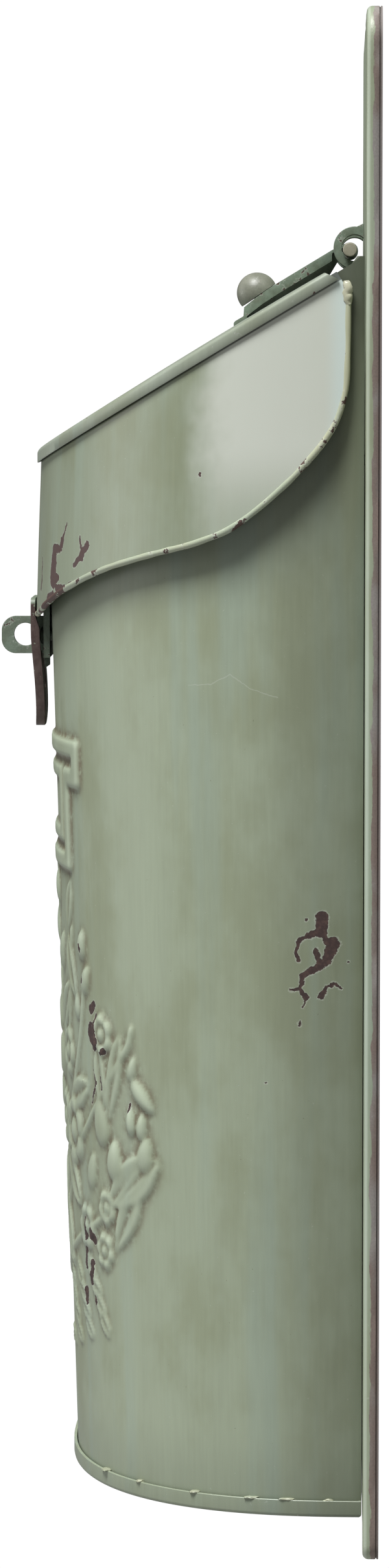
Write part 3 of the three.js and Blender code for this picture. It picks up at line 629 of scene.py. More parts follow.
def hardware_paint(name, base=linear(100, 110, 95), cool=linear(114, 128, 113), wear=0.36):
    """Thick dark green paint over iron, worn paler and browner in scattered patches."""
    graph = Graph(name)
    blotch = graph.noise(graph.place, 0.22, 4.0, 0.6)
    fine = graph.noise(graph.place, 1.3, 4.0, 0.65)
    colour = graph.mix(graph.span(blotch, 0.35, 0.65), base, cool)
    colour = graph.mix(graph.times(graph.span(fine, 0.55, 0.75), 0.5), colour,
                       linear(104, 96, 84))
    colour = graph.shade(colour, graph.plus(graph.times(fine, 0.5), 0.75))
    distance = random_chips(graph, wear, 0.3)
    colour, height, chip = chipped(graph, colour, distance, fine, DEEP_WARM)
    rough = graph.plus(graph.times(fine, 0.2), 0.3)
    return graph.finish(colour, rough, height, 0.06)


def worn_strap_paint(name):
    """Dark brown bare coat with green paint left near the top of the hasp."""
    graph = Graph(name)
    fine = graph.noise(graph.stretched(1.2, 1.2, 0.25), 1.0, 4.0, 0.6)
    blotch = graph.noise(graph.place, 0.3, 4.0, 0.6)
    bare = graph.mix(graph.span(blotch, 0.35, 0.65), linear(70, 54, 51), linear(88, 73, 69))
    bare = graph.shade(bare, graph.plus(graph.times(fine, 0.7), 0.6))
    left = graph.plus(graph.z, graph.times(blotch, 7.0))
    top = box_mm("hasp_strap")[1][2]
    painted = graph.span(left, top + 0.6, top + 2.2)
    colour = graph.mix(painted, bare, linear(104, 114, 98))
    flake = graph.span(graph.noise(graph.place, 0.5, 4.0), 0.66, 0.69)
    colour = graph.mix(graph.times(flake, 0.7), colour, linear(140, 150, 132))
    rough = graph.plus(graph.times(fine, 0.2), 0.36)
    return graph.finish(colour, rough, fine, 0.06)


PAINTS = {
    "body_plain": body_paint("sage_body_paint"),
    "body_relief": body_paint("glazed_relief_paint", "relief"),
    "body_side": body_paint("chipped_side_paint", "side"),
    "body_hairline": body_paint("crazed_side_paint", "hairline"),
    "body": body_paint("sage_foot_paint", "foot"),
    "skirt": lid_paint("lid_paint_painted_sheen"),
    "lid": lid_paint("sage_lid_paint", flank=False),
    "hem": bead_paint("pale_hem_paint", linear(158, 167, 146), 0.40),
    "crumple": bead_paint("crumpled_end_paint", linear(186, 184, 162), 0.47),
    "solder": bead_paint("solder_paint", linear(146, 150, 128), 0.36),
    "plate": plate_paint("worn_plate_paint"),
    "hardware": hardware_paint("dark_hardware_paint"),
    "knob": hardware_paint("knob_paint", linear(112, 114, 102), linear(124, 126, 114), 0.30),
    "pin": hardware_paint("pin_paint", linear(140, 136, 118), linear(150, 146, 130), 0.30),
    "strap_worn": worn_strap_paint("worn_strap_paint"),
}


# ---- Pressed decoration of the body's front ----

def smooth_step(value, low, high):
    share = np.clip((value - low) / (high - low), 0, 1)
    return share * share * (3 - 2 * share)


def turned_frame(s, z, centre, angle):
    """Coordinates along and across a direction, in degrees from +s towards +z, at a centre."""
    turn = math.radians(angle)
    du, dv = s - centre[0], z - centre[1]
    return du * math.cos(turn) + dv * math.sin(turn), dv * math.cos(turn) - du * math.sin(turn)


def bud(s, z, centre, length, width, angle, height):
    """A plump closed bud: a rounded dome, fuller at its base."""
    along, across = turned_frame(s, z, centre, angle)
    reach = along / (length / 2)
    waist = width / 2 * (1 - 0.25 * reach)
    left = 1 - reach ** 2 - (across / waist) ** 2
    return height * np.sqrt(np.clip(left, 0, 1))


def leaf(s, z, centre, length, width, angle, height):
    """A pointed leaf, raised at its edges and sunk along its middle vein."""
    along, across = turned_frame(s, z, centre, angle)
    reach = np.clip(along / (length / 2), -1, 1)
    half = width / 2 * (1 - reach ** 2) * (1 + 0.25 * reach) + 1e-6
    side = np.abs(across) / half
    inside = smooth_step(1.12 - side, 0.0, 0.22) * (np.abs(along) < length / 2)
    vein = 1 - 0.65 * np.exp(-(across / 0.9) ** 2)
    rise = 0.55 + 0.45 * np.clip(side, 0, 1)
    return height * inside * rise * vein


def blossom(s, z, centre, radius, petals, height, turn=0.0):
    """A round flower: a ring of petals, a sunken ring and a button."""
    du, dv = s - centre[0], z - centre[1]
    distance = np.hypot(du, dv)
    angle = np.arctan2(dv, du) + turn
    edge = radius * (0.84 + 0.16 * np.abs(np.cos(petals * angle / 2)))
    petal = smooth_step(edge - distance, 0.0, 0.28 * radius)
    cup = 0.62 + 0.38 * np.clip(distance / radius, 0, 1)
    groove = 1 - 0.5 * np.exp(-((np.cos(petals * angle / 2)) / 0.22) ** 2) * (distance > 0.35 * radius)
    moat = 1 - 0.75 * np.exp(-((distance - 0.38 * radius) / (0.09 * radius)) ** 2)
    button = np.sqrt(np.clip(1 - (distance / (0.3 * radius)) ** 2, 0, 1))
    return height * np.maximum(petal * cup * groove * moat, button)


def stem(s, z, points, width, height):
    """A round stalk along a smooth curve."""
    curve = catmull([np.array(p, float) for p in points], 10)
    nearest = np.full(s.shape, np.inf)
    for (u1, v1), (u2, v2) in zip(curve, curve[1:]):
        run_u, run_v = u2 - u1, v2 - v1
        share = np.clip(((s - u1) * run_u + (z - v1) * run_v) / (run_u ** 2 + run_v ** 2), 0, 1)
        nearest = np.minimum(nearest, np.hypot(s - u1 - share * run_u, z - v1 - share * run_v))
    return height * np.sqrt(np.clip(1 - (nearest / (width / 2)) ** 2, 0, 1))


def rounded_box(s, z, centre, half, corner):
    """Signed distance to an upright rectangle with rounded corners."""
    du = np.abs(s - centre[0]) - half[0] + corner
    dv = np.abs(z - centre[1]) - half[1] + corner
    outside = np.hypot(np.maximum(du, 0), np.maximum(dv, 0))
    return outside + np.minimum(np.maximum(du, dv), 0) - corner


def name_panel(s, z):
    """A blank stepped panel: a raised border, a sunken channel and a flat raised field."""
    head = rounded_box(s, z, (0, 223.2), (60, 7.3), 1.6)
    field = rounded_box(s, z, (0, 210.2), (50, 20.2), 1.6)
    outline = np.minimum(head, field)
    border = smooth_step(outline, 0.3, -0.5) * smooth_step(outline, -6.0, -5.2)
    panel = smooth_step(outline, -8.0, -8.8)
    inner = smooth_step(outline, -13.2, -12.4)
    return 1.25 * border + 1.0 * panel * inner


# Buds and leaves: centre, length, width, direction in degrees, height. Blossoms: centre, radius,
# number of petals, height.
BUDS = [
    (58, 168.5, 9.5, 6.5, 78, 1.7), (60.5, 158, 10, 6, 62, 1.6), (52, 149, 8, 5, 100, 1.2),
    (92.5, 126, 13, 5.6, -42, 1.8), (87, 118, 8.5, 4.4, 96, 1.6), (92, 117, 8.5, 4.4, 84, 1.6),
    (93.5, 108.5, 11.5, 7, 80, 1.7), (78, 105, 13, 8.5, 86, 1.9), (70, 116, 15, 9.5, 100, 1.7),
    (62, 100, 12, 7, 70, 1.3), (21, 183, 12, 8, 80, 1.7), (30, 164, 14, 8, 60, 1.6),
    (8, 170, 14, 9, 96, 1.8), (88, 134, 8, 4, 70, 1.3),
]
LEAVES = [
    (86, 99, 32, 13, 33, 1.2), (84, 88, 26, 9, 58, 1.2), (46, 160, 24, 8, 118, 1.2),
    (78, 130, 30, 7, 74, 1.1), (70, 128, 26, 7, 98, 1.1), (44, 178, 20, 7, 70, 1.1),
    (34, 146, 26, 10, 45, 1.3), (40, 96, 26, 10, -40, 1.3), (28, 78, 28, 11, -58, 1.4),
    (12, 190, 18, 7, 60, 1.1), (50, 122, 24, 9, 20, 1.2), (16, 88, 26, 10, -86, 1.3),
]
BLOSSOMS = [
    (71.5, 142.5, 7.2, 6, 1.7), (72.5, 90, 6.2, 5, 1.4), (70.5, 76.5, 6.4, 6, 1.5),
    (0, 130, 25, 7, 2.0), (44, 110, 12.5, 6, 1.7), (27, 112, 10, 5, 1.5), (56, 82, 8, 6, 1.4),
    (38, 134, 9, 5, 1.5),
]
FERN_SPRIGS = 13
FLOWER_DEPTH = 0.8


def bouquet(s, z):
    """Half of the pressed bunch of flowers; the other half mirrors it."""
    half = np.abs(s)
    height = np.zeros(s.shape)
    for u, v, length, width, angle, rise in BUDS:
        height = np.maximum(height, bud(half, z, (u, v), length, width, angle, rise))
    for u, v, length, width, angle, rise in LEAVES:
        height = np.maximum(height, leaf(half, z, (u, v), length, width, angle, rise))
    for u, v, radius, petals, rise in BLOSSOMS:
        height = np.maximum(height, blossom(half, z, (u, v), radius, petals, rise, 0.3 * u))
    stalks = [
        [(8, 60), (34, 92), (64, 118), (84, 138), (88, 146)],
        [(6, 60), (30, 100), (52, 136), (60, 160)],
        [(4, 60), (44, 76), (72, 88), (90, 103)],
        [(10, 120), (14, 150), (10, 172), (20, 186)],
        [(36, 130), (44, 152), (47, 172)],
    ]
    for points in stalks:
        height = np.maximum(height, stem(half, z, points, 2.4, 1.0))
    for sprig in range(FERN_SPRIGS):
        u = 28 + 44 * ((sprig * 7) % FERN_SPRIGS) / FERN_SPRIGS
        v = 44 + 24 * ((sprig * 5) % FERN_SPRIGS) / FERN_SPRIGS + 0.12 * (u - 28)
        angle = -18 - 5.5 * (sprig % 6)
        height = np.maximum(height, leaf(half, z, (u, v), 13, 4.6, angle, 1.2))
    return height


def relief(s, z):
    """Height in millimetres of the pressed decoration over a point of the body's front."""
    waver = 0.05 * np.sin(0.31 * s) * np.cos(0.27 * z)
    height = np.maximum(FLOWER_DEPTH * bouquet(s, z), name_panel(s, z))
    return height * (1 + waver)


def blur(values, size):
    """A Gaussian blur of a grid, over a number of cells each way."""
    reach = int(3 * size)
    weights = np.exp(-0.5 * (np.arange(-reach, reach + 1) / size) ** 2)
    weights /= weights.sum()
    for axis in (0, 1):
        padded = np.pad(values, [(reach, reach) if axis == a else (0, 0) for a in (0, 1)], mode="edge")
        values = np.apply_along_axis(lambda line: np.convolve(line, weights, "valid"), axis, padded)
    return values


# ---- Body ----

RELIEF_HALF_ARC = 108.0
RELIEF_FOOT = 36.0
RELIEF_TOP = 240.0
RELIEF_CELL = 0.85
SIDE_CELL = 4.0
RIM_BELOW_LID = 2.2
# Lowest and highest distance along the wall, then height, of the regions with paint of their own.
BODY_REGIONS = {
    "relief": (-106.0, 106.0, 37.0, 239.0),
    "side": (130.0, 163.0, 130.0, 190.0),
    "hairline": (108.0, 145.0, 240.0, 262.0),
}


def body_half_width(z):
    return BODY_HALF_WIDTH + WIDTH_TAPER * (z - PAN_RIM)


def body_section(angles, z, inset=0.0, proud=0.0):
    """Points of the body's wall at given plan angles and heights, moved out along its normal."""
    climb = (z - BODY_FOOT) / (BODY_RIM_HEIGHT - BODY_FOOT)
    exponent = BODY_EXPONENT["foot"] + (BODY_EXPONENT["rim"] - BODY_EXPONENT["foot"]) * climb
    rear = PLATE_FRONT - GAP
    half_width = body_half_width(z) - inset
    depth = BODY_DEPTH + DEPTH_TAPER * (z - PAN_RIM) - GAP - inset
    across, forward = superellipse(angles, exponent)
    normal_x = np.sign(across) * np.abs(across) ** (exponent - 1) / half_width
    normal_y = -np.abs(forward) ** (exponent - 1) / depth
    length = np.hypot(normal_x, normal_y)
    return np.stack([
        half_width * across + proud * normal_x / length,
        rear - depth * forward + proud * normal_y / length,
        z + np.zeros(across.shape),
    ], axis=-1)


def body_columns():
    """Plan angles of the body's columns and their distances along the wall from its middle."""
    fine = np.linspace(0, math.pi, 4001)
    outline = body_section(fine, np.full(fine.shape, 130.0))
    arc = np.concatenate([[0], np.cumsum(np.linalg.norm(np.diff(outline, axis=0), axis=1))])
    arc -= arc[-1] / 2
    end = arc[-1]
    front = np.linspace(-RELIEF_HALF_ARC, RELIEF_HALF_ARC, int(2 * RELIEF_HALF_ARC / RELIEF_CELL) + 1)
    side = np.linspace(RELIEF_HALF_ARC, end, int((end - RELIEF_HALF_ARC) / SIDE_CELL) + 2)[1:]
    wanted = np.concatenate([-side[::-1], front, side])
    return np.interp(wanted, arc, fine), wanted


def body_top(y):
    """The rim's height at a depth."""
    return lid_plane(y) + RIM_BELOW_LID


def make_body():
    """Pressed sheet wall with flanges behind, as one closed skin."""
    angles, arcs = body_columns()
    low_rows = np.linspace(BODY_FOOT, RELIEF_FOOT, 6)[:-1]
    relief_rows = np.linspace(RELIEF_FOOT, RELIEF_TOP, int((RELIEF_TOP - RELIEF_FOOT) / RELIEF_CELL) + 1)
    rows = np.concatenate([low_rows, relief_rows])
    s_grid, z_grid = np.meshgrid(arcs, rows)
    heights = relief(s_grid, z_grid)
    soft = blur(heights, 0.6)
    recess = np.clip((blur(heights, 2.0) - soft) / 0.34, 0, 1)
    recess += 0.35 * np.clip(blur(heights, 5.0) - soft, 0, 1)
    recess *= smooth_step(blur(heights, 4.0), 0.02, 0.2)
    # Painted highlight: how far each point stands above its blurred surroundings, used to paint the
    # relief's crests paler.
    proud = np.clip((soft - blur(heights, 2.4)) / 0.5, 0, 1)
    upper_steps = 22

    def wall(inset, picked):
        """Grid of points for the rows picked, with the rest of the way up to the slanting rim."""
        z = z_grid[picked]
        lower = body_section(np.broadcast_to(angles, z.shape), z, inset, soft[picked])
        base = body_section(angles, np.full(angles.shape, RELIEF_TOP), inset)
        top_z = body_top(base[:, 1])
        for _ in range(3):
            top_z = body_top(body_section(angles, top_z, inset)[:, 1])
        upper = []
        for step in range(1, upper_steps + 1):
            share = step / upper_steps
            upper.append(body_section(angles, RELIEF_TOP + share * (top_z - RELIEF_TOP), inset))
        return np.concatenate([lower, np.array(upper)])

    def with_flanges(grid, inset):
        """Adds the bends and flanges behind to both ends of each row."""
        rear = PLATE_FRONT - GAP - inset
        bend = 1.2
        done = []
        for row in grid:
            ends = []
            for side, point in ((-1, row[0]), (1, row[-1])):
                x, z = abs(point[0]), point[2]
                chain = [(side * (x - 0.3 * bend), rear, z), (side * (x - bend), rear, z),
                         (side * (x + inset - BODY_FLANGE), rear, z)]
                start = (side * x, rear - bend, z)
                ends.append((start, chain))
            (left_start, left), (right_start, right) = ends
            done.append(np.array([*left[::-1], left_start, *row[1:-1], right_start, *right]))
        return np.array(done)

    every = np.arange(len(rows))
    sparse = np.unique(np.concatenate([every[::3], [len(rows) - 1]]))
    outer = with_flanges(wall(0.0, every), 0.0)
    inner = with_flanges(wall(SHEET, sparse), SHEET)
    columns = outer.shape[1]
    points = np.concatenate([outer.reshape(-1, 3), inner.reshape(-1, 3)])
    start = outer.shape[0] * columns
    faces = grid_faces(outer.shape[0], columns) + grid_faces(inner.shape[0], columns, start)
    outer_top = (outer.shape[0] - 1) * columns
    inner_top = start + (inner.shape[0] - 1) * columns
    for column in range(columns - 1):
        faces.append((column, column + 1, start + column + 1, start + column))
        faces.append((outer_top + column, outer_top + column + 1,
                      inner_top + column + 1, inner_top + column))
    for column in (0, columns - 1):
        up = [row * columns + column for row in range(outer.shape[0])]
        down = [start + row * columns + column for row in range(inner.shape[0])]
        faces.append(tuple(up + down[::-1]))
    piece = add_mesh("body_shell_pressed", points, faces, PAINTS["body_plain"])
    for region in BODY_REGIONS:
        piece.data.materials.append(PAINTS[f"body_{region}"])
    extra = columns - len(arcs)
    arc_row = np.concatenate([np.full(extra // 2, arcs[0]), arcs, np.full(extra // 2, arcs[-1])])
    total = len(points) // columns
    set_attribute(piece, "arc", np.tile(arc_row, total))
    pad = ((0, upper_steps), (extra // 2, extra // 2))
    inner_pad = np.zeros((inner.shape[0], columns))
    for name, values in (("recess", recess), ("proud", proud)):
        shown = np.pad(values, pad)
        set_attribute(piece, name, np.concatenate([shown.ravel(), inner_pad.ravel()]))
    set_attribute(piece, "painted_hem_shadow", hem_shadow_strength(points))
    paint_regions(piece, np.tile(arc_row, total), points[:, 2])
    return place(piece, "box", "body_paint", "body_shell")


SHADE_REACH = {"front": 20.0, "more_behind": 26.0}


def hem_shadow_strength(points):
    """Painted shadow under the closed lid's hem, fading below it. Being painted, it stays when
    the lid opens."""
    hem = np.array(HEM_PROFILE)
    below = np.interp(-points[:, 1], -hem[:, 0], hem[:, 1]) - points[:, 2]
    behind = smooth_step(points[:, 1], -60.0, -12.0)
    reach = SHADE_REACH["front"] + SHADE_REACH["more_behind"] * behind
    return smooth_step(below, reach, -2.0) ** 1.2


def paint_regions(piece, arc, height):
    """Gives the faces within each region of the wall that region's own paint."""
    middles = [(arc[list(face.vertices)].mean(), height[list(face.vertices)].mean())
               for face in piece.data.polygons]
    s, z = np.array(middles).T
    indices = np.zeros(len(s), np.int32)
    for slot_index, (low_s, high_s, low_z, high_z) in enumerate(BODY_REGIONS.values(), start=1):
        indices[(s > low_s) & (s < high_s) & (z > low_z) & (z < high_z)] = slot_index
    piece.data.polygons.foreach_set("material_index", indices)


# ---- Bottom pan ----

def pan_ring(inset, z, count=97):
    """A closed D of plan points at one height, drawn in from the pan's outer face."""
    angles = np.linspace(0, math.pi, count)
    rear = PLATE_FRONT - GAP - max(inset, 0)
    half_width = PAN_HIGH[0] - inset
    depth = rear - PAN_LOW[1] - inset
    across, forward = superellipse(angles, BODY_EXPONENT["foot"])
    return np.stack([half_width * across, rear - depth * forward, np.full(count, float(z))], axis=-1)


def make_pan():
    """A shallow tray soldered over the body's foot, its floor dished down."""
    low = PAN_LOW[2] + 1.4
    bend = 1.2
    rings = [pan_ring(30, low + SHEET - 1.4), pan_ring(20, low + SHEET - 1.0),
             pan_ring(8, low + SHEET - 0.3), pan_ring(bend + SHEET, low + SHEET),
             pan_ring(SHEET, low + SHEET + 0.3), pan_ring(SHEET, PAN_RIM - 0.15),
             pan_ring(SHEET - 0.12, PAN_RIM), pan_ring(0.15, PAN_RIM), pan_ring(0, PAN_RIM - 0.15),
             pan_ring(0, low + bend), pan_ring(0.1 * bend, low + 0.55 * bend),
             pan_ring(0.3 * bend, low + 0.3 * bend), pan_ring(0.6 * bend, low + 0.08 * bend),
             pan_ring(bend, low), pan_ring(8, low - 0.3), pan_ring(20, low - 1.0),
             pan_ring(30, low - 1.4)]
    piece = loft("bottom_pan_pressed", rings, PAINTS["body"])
    return place(piece, "box", "body_paint", "bottom_pan")


def blob(name, centre, size, seed, material):
    """A small uneven lump of solder."""
    work = bmesh.new()
    bmesh.ops.create_icosphere(work, subdivisions=3, radius=1.0)
    for vertex in work.verts:
        push = 1 + 0.35 * noise(vertex.co * 1.7 + Vector((seed, 2 * seed, 0)))
        vertex.co = Vector([c + s * push * v for c, s, v in zip(centre, size, vertex.co)]) * MM
    mesh = bpy.data.meshes.new(name)
    work.to_mesh(mesh)
    work.free()
    return finish_mesh(name, mesh, material)


def make_solder():
    """Tacks of solder along the joint of pan and body, closer together towards the sides."""
    made = []
    for side in (-1, 1):
        for index, y in enumerate((-14.6, -27.0, -37.5, -54.5, -71.5, -82.3)):
            rear = PLATE_FRONT - GAP
            depth = rear - PAN_LOW[1]
            share = (rear - y - 0.15 * index * (side < 0)) / depth
            across = (1 - share ** BODY_EXPONENT["foot"]) ** (1 / BODY_EXPONENT["foot"])
            x = side * (PAN_HIGH[0] * across - 0.55)
            name = f"solder_tack_{'right' if side > 0 else 'left'}_{index + 1}"
            turn = math.atan2(share ** 1.45 / depth, across ** 1.45 / PAN_HIGH[0])
            wide = 1.5 + 0.5 * ((3 * index) % 4)
            size = (0.45 + wide * math.sin(turn) * 0.7, 0.45 + wide * math.cos(turn) * 0.7, 0.45)
            tack = blob(name, (x, y + 0.35 * math.sin(turn), PAN_RIM + 0.1), size, index + 7 * (side > 0),
                        PAINTS["solder"])
            made.append(place(tack, "box", "body_paint"))
    return made


# ---- Lid ----

def lid_ring(inset, height, count=121):
    """A closed D drawn in from the lid's edge, at a height above the sloping lid plane."""
    angles = np.linspace(0, math.pi, count)
    across, forward = superellipse(angles, LID_EXPONENT)
    y = PLATE_FRONT - inset - (LID_DEPTH - 2 * inset) * forward
    return np.stack([(LID_HALF_WIDTH - inset) * across, y, lid_plane(y) + height], axis=-1)


def dome_height(inset):
    climb = (inset - LID_EDGE_BEND) / (LID_CROWN_INSET - LID_EDGE_BEND)
    return LID_FLANGE + LID_CROWN * (1 - (1 - climb) ** 2)


def make_lid_top():
    """Domed sheet with its edge turned down round the skirt."""
    shares = (1, 0.85, 0.7, 0.55, 0.42, 0.3, 0.2, 0.12, 0.05)
    insets = [LID_EDGE_BEND + share * (LID_CROWN_INSET - LID_EDGE_BEND) for share in shares]
    bend, flange = LID_EDGE_BEND, LID_FLANGE
    rings = [lid_ring(inset, dome_height(inset)) for inset in insets]
    for step in range(6):
        turn = math.radians(90 * step / 5)
        rings.append(lid_ring(bend * (1 - math.sin(turn)), flange - bend * (1 - math.cos(turn))))
    rings += [lid_ring(0, 0.2), lid_ring(0.15, 0), lid_ring(SHEET - 0.15, 0), lid_ring(SHEET, 0.2),
              lid_ring(SHEET, flange - bend), lid_ring(bend + 0.2, flange - SHEET)]
    rings += [lid_ring(inset, dome_height(inset) - SHEET) for inset in insets[::-1]]
    piece = loft("lid_top_pressed", rings, PAINTS["lid"], 50.0)
    work = bmesh.new()
    work.from_mesh(piece.data)
    cut_run = Vector((0, LID_REAR_CUT["run"], -LID_REAR_CUT["drop"]))
    normal = cut_run.cross(Vector((1, 0, 0))).normalized()
    point = Vector((0, LID_REAR_CUT["y"], FOOT + LID_REAR_CUT["up"])) * MM
    if normal.y < 0:
        normal = -normal
    everything = work.verts[:] + work.edges[:] + work.faces[:]
    cut = bmesh.ops.bisect_plane(work, geom=everything, plane_co=point, plane_no=normal, clear_outer=True)
    edges = [e for e in cut["geom_cut"] if isinstance(e, bmesh.types.BMEdge)]
    bmesh.ops.holes_fill(work, edges=edges)
    bmesh.ops.recalc_face_normals(work, faces=work.faces)
    work.to_mesh(piece.data)
    work.free()
    piece.data.set_sharp_from_angle(angle=math.radians(50))
    return place(piece, "lid", "lid_paint", "lid_top")


def skirt_inset(height):
    return SHEET + GAP + SKIRT_FLARE * np.minimum(height, 0)


def skirt_point(angle, height, inward=0.0):
    """A point of the right half of the skirt: angle 0 behind to pi / 2 at the front."""
    inset = skirt_inset(height) + inward
    forward = np.sin(angle) ** (2 / LID_EXPONENT)
    across = np.clip(np.cos(angle), 0, 1) ** (2 / LID_EXPONENT)
    y = PLATE_FRONT - inset - (LID_DEPTH - 2 * inset) * forward
    return np.stack([(LID_HALF_WIDTH - inset) * across, y, lid_plane(y) + height], axis=-1)


def skirt_angle(y, height):
    inset = skirt_inset(height)
    forward = np.clip((PLATE_FRONT - inset - y) / (LID_DEPTH - 2 * inset), 0, 1)
    return np.arcsin(forward ** (LID_EXPONENT / 2))


def hem_line(count):
    """Plan angle and height above the lid plane along the hem, from behind to the front."""
    curve = catmull([np.array(p) for p in HEM_PROFILE], 40)
    height = curve[:, 1] - lid_plane(curve[:, 0])
    angle = skirt_angle(curve[:, 0], height)
    angle[-1] = math.pi / 2
    points = skirt_point(angle, height)
    run = np.concatenate([[0], np.cumsum(np.linalg.norm(np.diff(points, axis=0), axis=1))])
    even = np.linspace(0, run[-1], count)
    return np.interp(even, run, angle), np.interp(even, run, height)


HEM_STEPS = 150
SKIRT_COLUMNS = 90
SKIRT_ROWS = 26


def make_skirt():
    """The lid's deep skirt, hemmed along a sweep from the rear edge to the low front."""
    hem_angle, hem_height = hem_line(SKIRT_COLUMNS)
    top_height = LID_FLANGE - SHEET - 2 * GAP
    corner_angle = float(skirt_angle(np.array(-12.9), np.array(-2.0)))
    top_angle = corner_angle + (math.pi / 2 - corner_angle) * np.linspace(0, 1, SKIRT_COLUMNS) ** 1.25
    half = []
    for row in range(SKIRT_ROWS):
        share = row / (SKIRT_ROWS - 1)
        angle = top_angle + (hem_angle - top_angle) * share ** 0.9
        height = top_height + (hem_height - top_height) * share
        half.append((angle, height))

    def surface(inward):
        grid = []
        for angle, height in half:
            right = skirt_point(angle, height, inward)
            left = right[:-1] * np.array([-1, 1, 1])
            grid.append(np.concatenate([left, right[::-1]]))
        return np.array(grid)

    outer, inner = surface(0.0), surface(SHEET)
    dent = np.array([[0.22 * noise(Vector(p) / 34.0) for p in row] for row in outer])
    outward = (outer - inner) / SHEET
    outer += dent[..., None] * outward
    inner += dent[..., None] * outward
    columns = outer.shape[1]
    points = np.concatenate([outer.reshape(-1, 3), inner.reshape(-1, 3)])
    start = SKIRT_ROWS * columns
    faces = grid_faces(SKIRT_ROWS, columns) + grid_faces(SKIRT_ROWS, columns, start)
    foot = (SKIRT_ROWS - 1) * columns
    for column in range(columns - 1):
        faces.append((column, column + 1, start + column + 1, start + column))
        faces.append((foot + column, foot + column + 1, start + foot + column + 1, start + foot + column))
    for row in range(SKIRT_ROWS - 1):
        for column in (0, columns - 1):
            here = row * columns + column
            faces.append((here, here + columns, start + here + columns, start + here))
    piece = add_mesh("lid_skirt_pressed", points, faces, PAINTS["skirt"])
    set_attribute(piece, "arc", np.tile(skirt_arcs(outer).ravel(), 2))
    return place(piece, "lid", "lid_paint", "lid_skirt")


def skirt_arcs(grid):
    """Signed plan distance along the skirt from its middle for each point of a grid."""
    angles = np.linspace(0, math.pi / 2, 2001)
    plan = skirt_point(angles, np.full(angles.shape, -30.0))
    run = np.concatenate([[0], np.cumsum(np.hypot(np.diff(plan[:, 0]), np.diff(plan[:, 1])))])
    from_front = run[-1] - run
    depth = np.interp(-grid[..., 1], -plan[:, 1], from_front)
    return np.sign(grid[..., 0]) * depth


def sweep_rings(path, radius_at, sides=12):
    """Rings round a path of points, each with its own radius."""
    tangents = np.gradient(path, axis=0)
    tangents /= np.linalg.norm(tangents, axis=1)[:, None]
    side = np.cross(tangents[0], (0, 0, 1.0))
    rings = []
    for index, (point, tangent) in enumerate(zip(path, tangents)):
        side = side - tangent * np.dot(side, tangent)
        side /= np.linalg.norm(side)
        up = np.cross(tangent, side)
        radius = radius_at(index)
        turns = np.linspace(0, 2 * math.pi, sides, endpoint=False)
        rings.append(point + radius * (np.cos(turns)[:, None] * side + np.sin(turns)[:, None] * up))
    return rings


def make_hem():
    """The rolled edge of the skirt, a little uneven along its run."""
    angle, height = hem_line(HEM_STEPS)
    right = skirt_point(angle, height, SHEET / 2)
    right[-1, 0] = 0
    left = right[:-1] * np.array([-1, 1, 1])
    path = np.concatenate([left, right[::-1]])
    for point in path:
        point += 0.10 * np.array(noise(Vector(point) / 9.0)) * np.array([np.sign(point[0]), -1, 0.6])

    def radius(index):
        here = Vector(path[index])
        return HEM_RADIUS * (1.0 + 0.16 * noise(here / 5.0)) + 0.08

    piece = loft("skirt_hem_rolled", sweep_rings(path, radius), PAINTS["hem"], 60.0)
    return place(piece, "lid", "lid_paint", "skirt_hem")


def make_hem_ends():
    """The hem's crumpled ends behind, where the roll was folded over and soldered."""
    for side, name in ((-1, "left"), (1, "right")):
        angle, height = hem_line(HEM_STEPS)
        top = skirt_point(angle[:1], height[:1], SHEET / 2)[0]
        path = [top + np.array([0, -0.1, -3.0 + 0.7 * step]) for step in range(11)]
        path = np.array([
            p + np.array([0.35, 0.5, 0]) * noise(Vector((0, 0, p[2] * 0.6 + 3 * side)))
            + np.array([0, -0.35, 0]) * max(0, index - 6) * 0.45
            for index, p in enumerate(path)
        ])
        path[:, 0] *= side

        def radius(index):
            grow = 1.05 + 0.9 * math.sin(math.pi * min(index / 10, 1)) ** 0.6
            return 0.75 * grow

        rings = sweep_rings(path, radius, 14)
        for ring in rings:
            for point in ring:
                point += 0.30 * noise(Vector(point) * 1.3) * np.array([0.8, 1, 0.4])
        piece = loft(f"hem_end_{name}", rings, PAINTS["crumple"], 60.0)
        place(piece, "lid", "lid_paint")


# ---- Back plate ----

def plate_loop(inset, steps=10):
    """The plate's outline drawn in by an inset, as (x, z) points."""
    loop = []
    for side_x, side_z, turn in ((1, -1, -90), (1, 1, 0), (-1, 1, 90), (-1, -1, 180)):
        corner = PLATE_CORNER["top" if side_z > 0 else "foot"]
        radius = max(corner - inset, 0.2)
        x = side_x * (PLATE_HIGH[0] - inset - radius)
        z = (PLATE_HIGH[2] if side_z > 0 else PLATE_LOW[2]) - side_z * (inset + radius)
        for step in range(steps + 1):
            angle = math.radians(turn + 90 * step / steps)
            loop.append((x + radius * math.cos(angle), z + radius * math.sin(angle)))
    return np.array(loop)


def even_loop(loop, spacing=5.0):
    """Adds points along a loop's straight stretches."""
    points = []
    for a, b in zip(loop, np.roll(loop, -1, axis=0)):
        count = max(1, int(np.linalg.norm(b - a) / spacing))
        points += [a + (b - a) * step / count for step in range(count)]
    return np.array(points)


HANGING_HOLE = (0.0, FOOT + 428.0, 4.0)
SCREW_HOLES = [(-60.0, FOOT + 300.0, 3.2), (60.0, FOOT + 300.0, 3.2)]


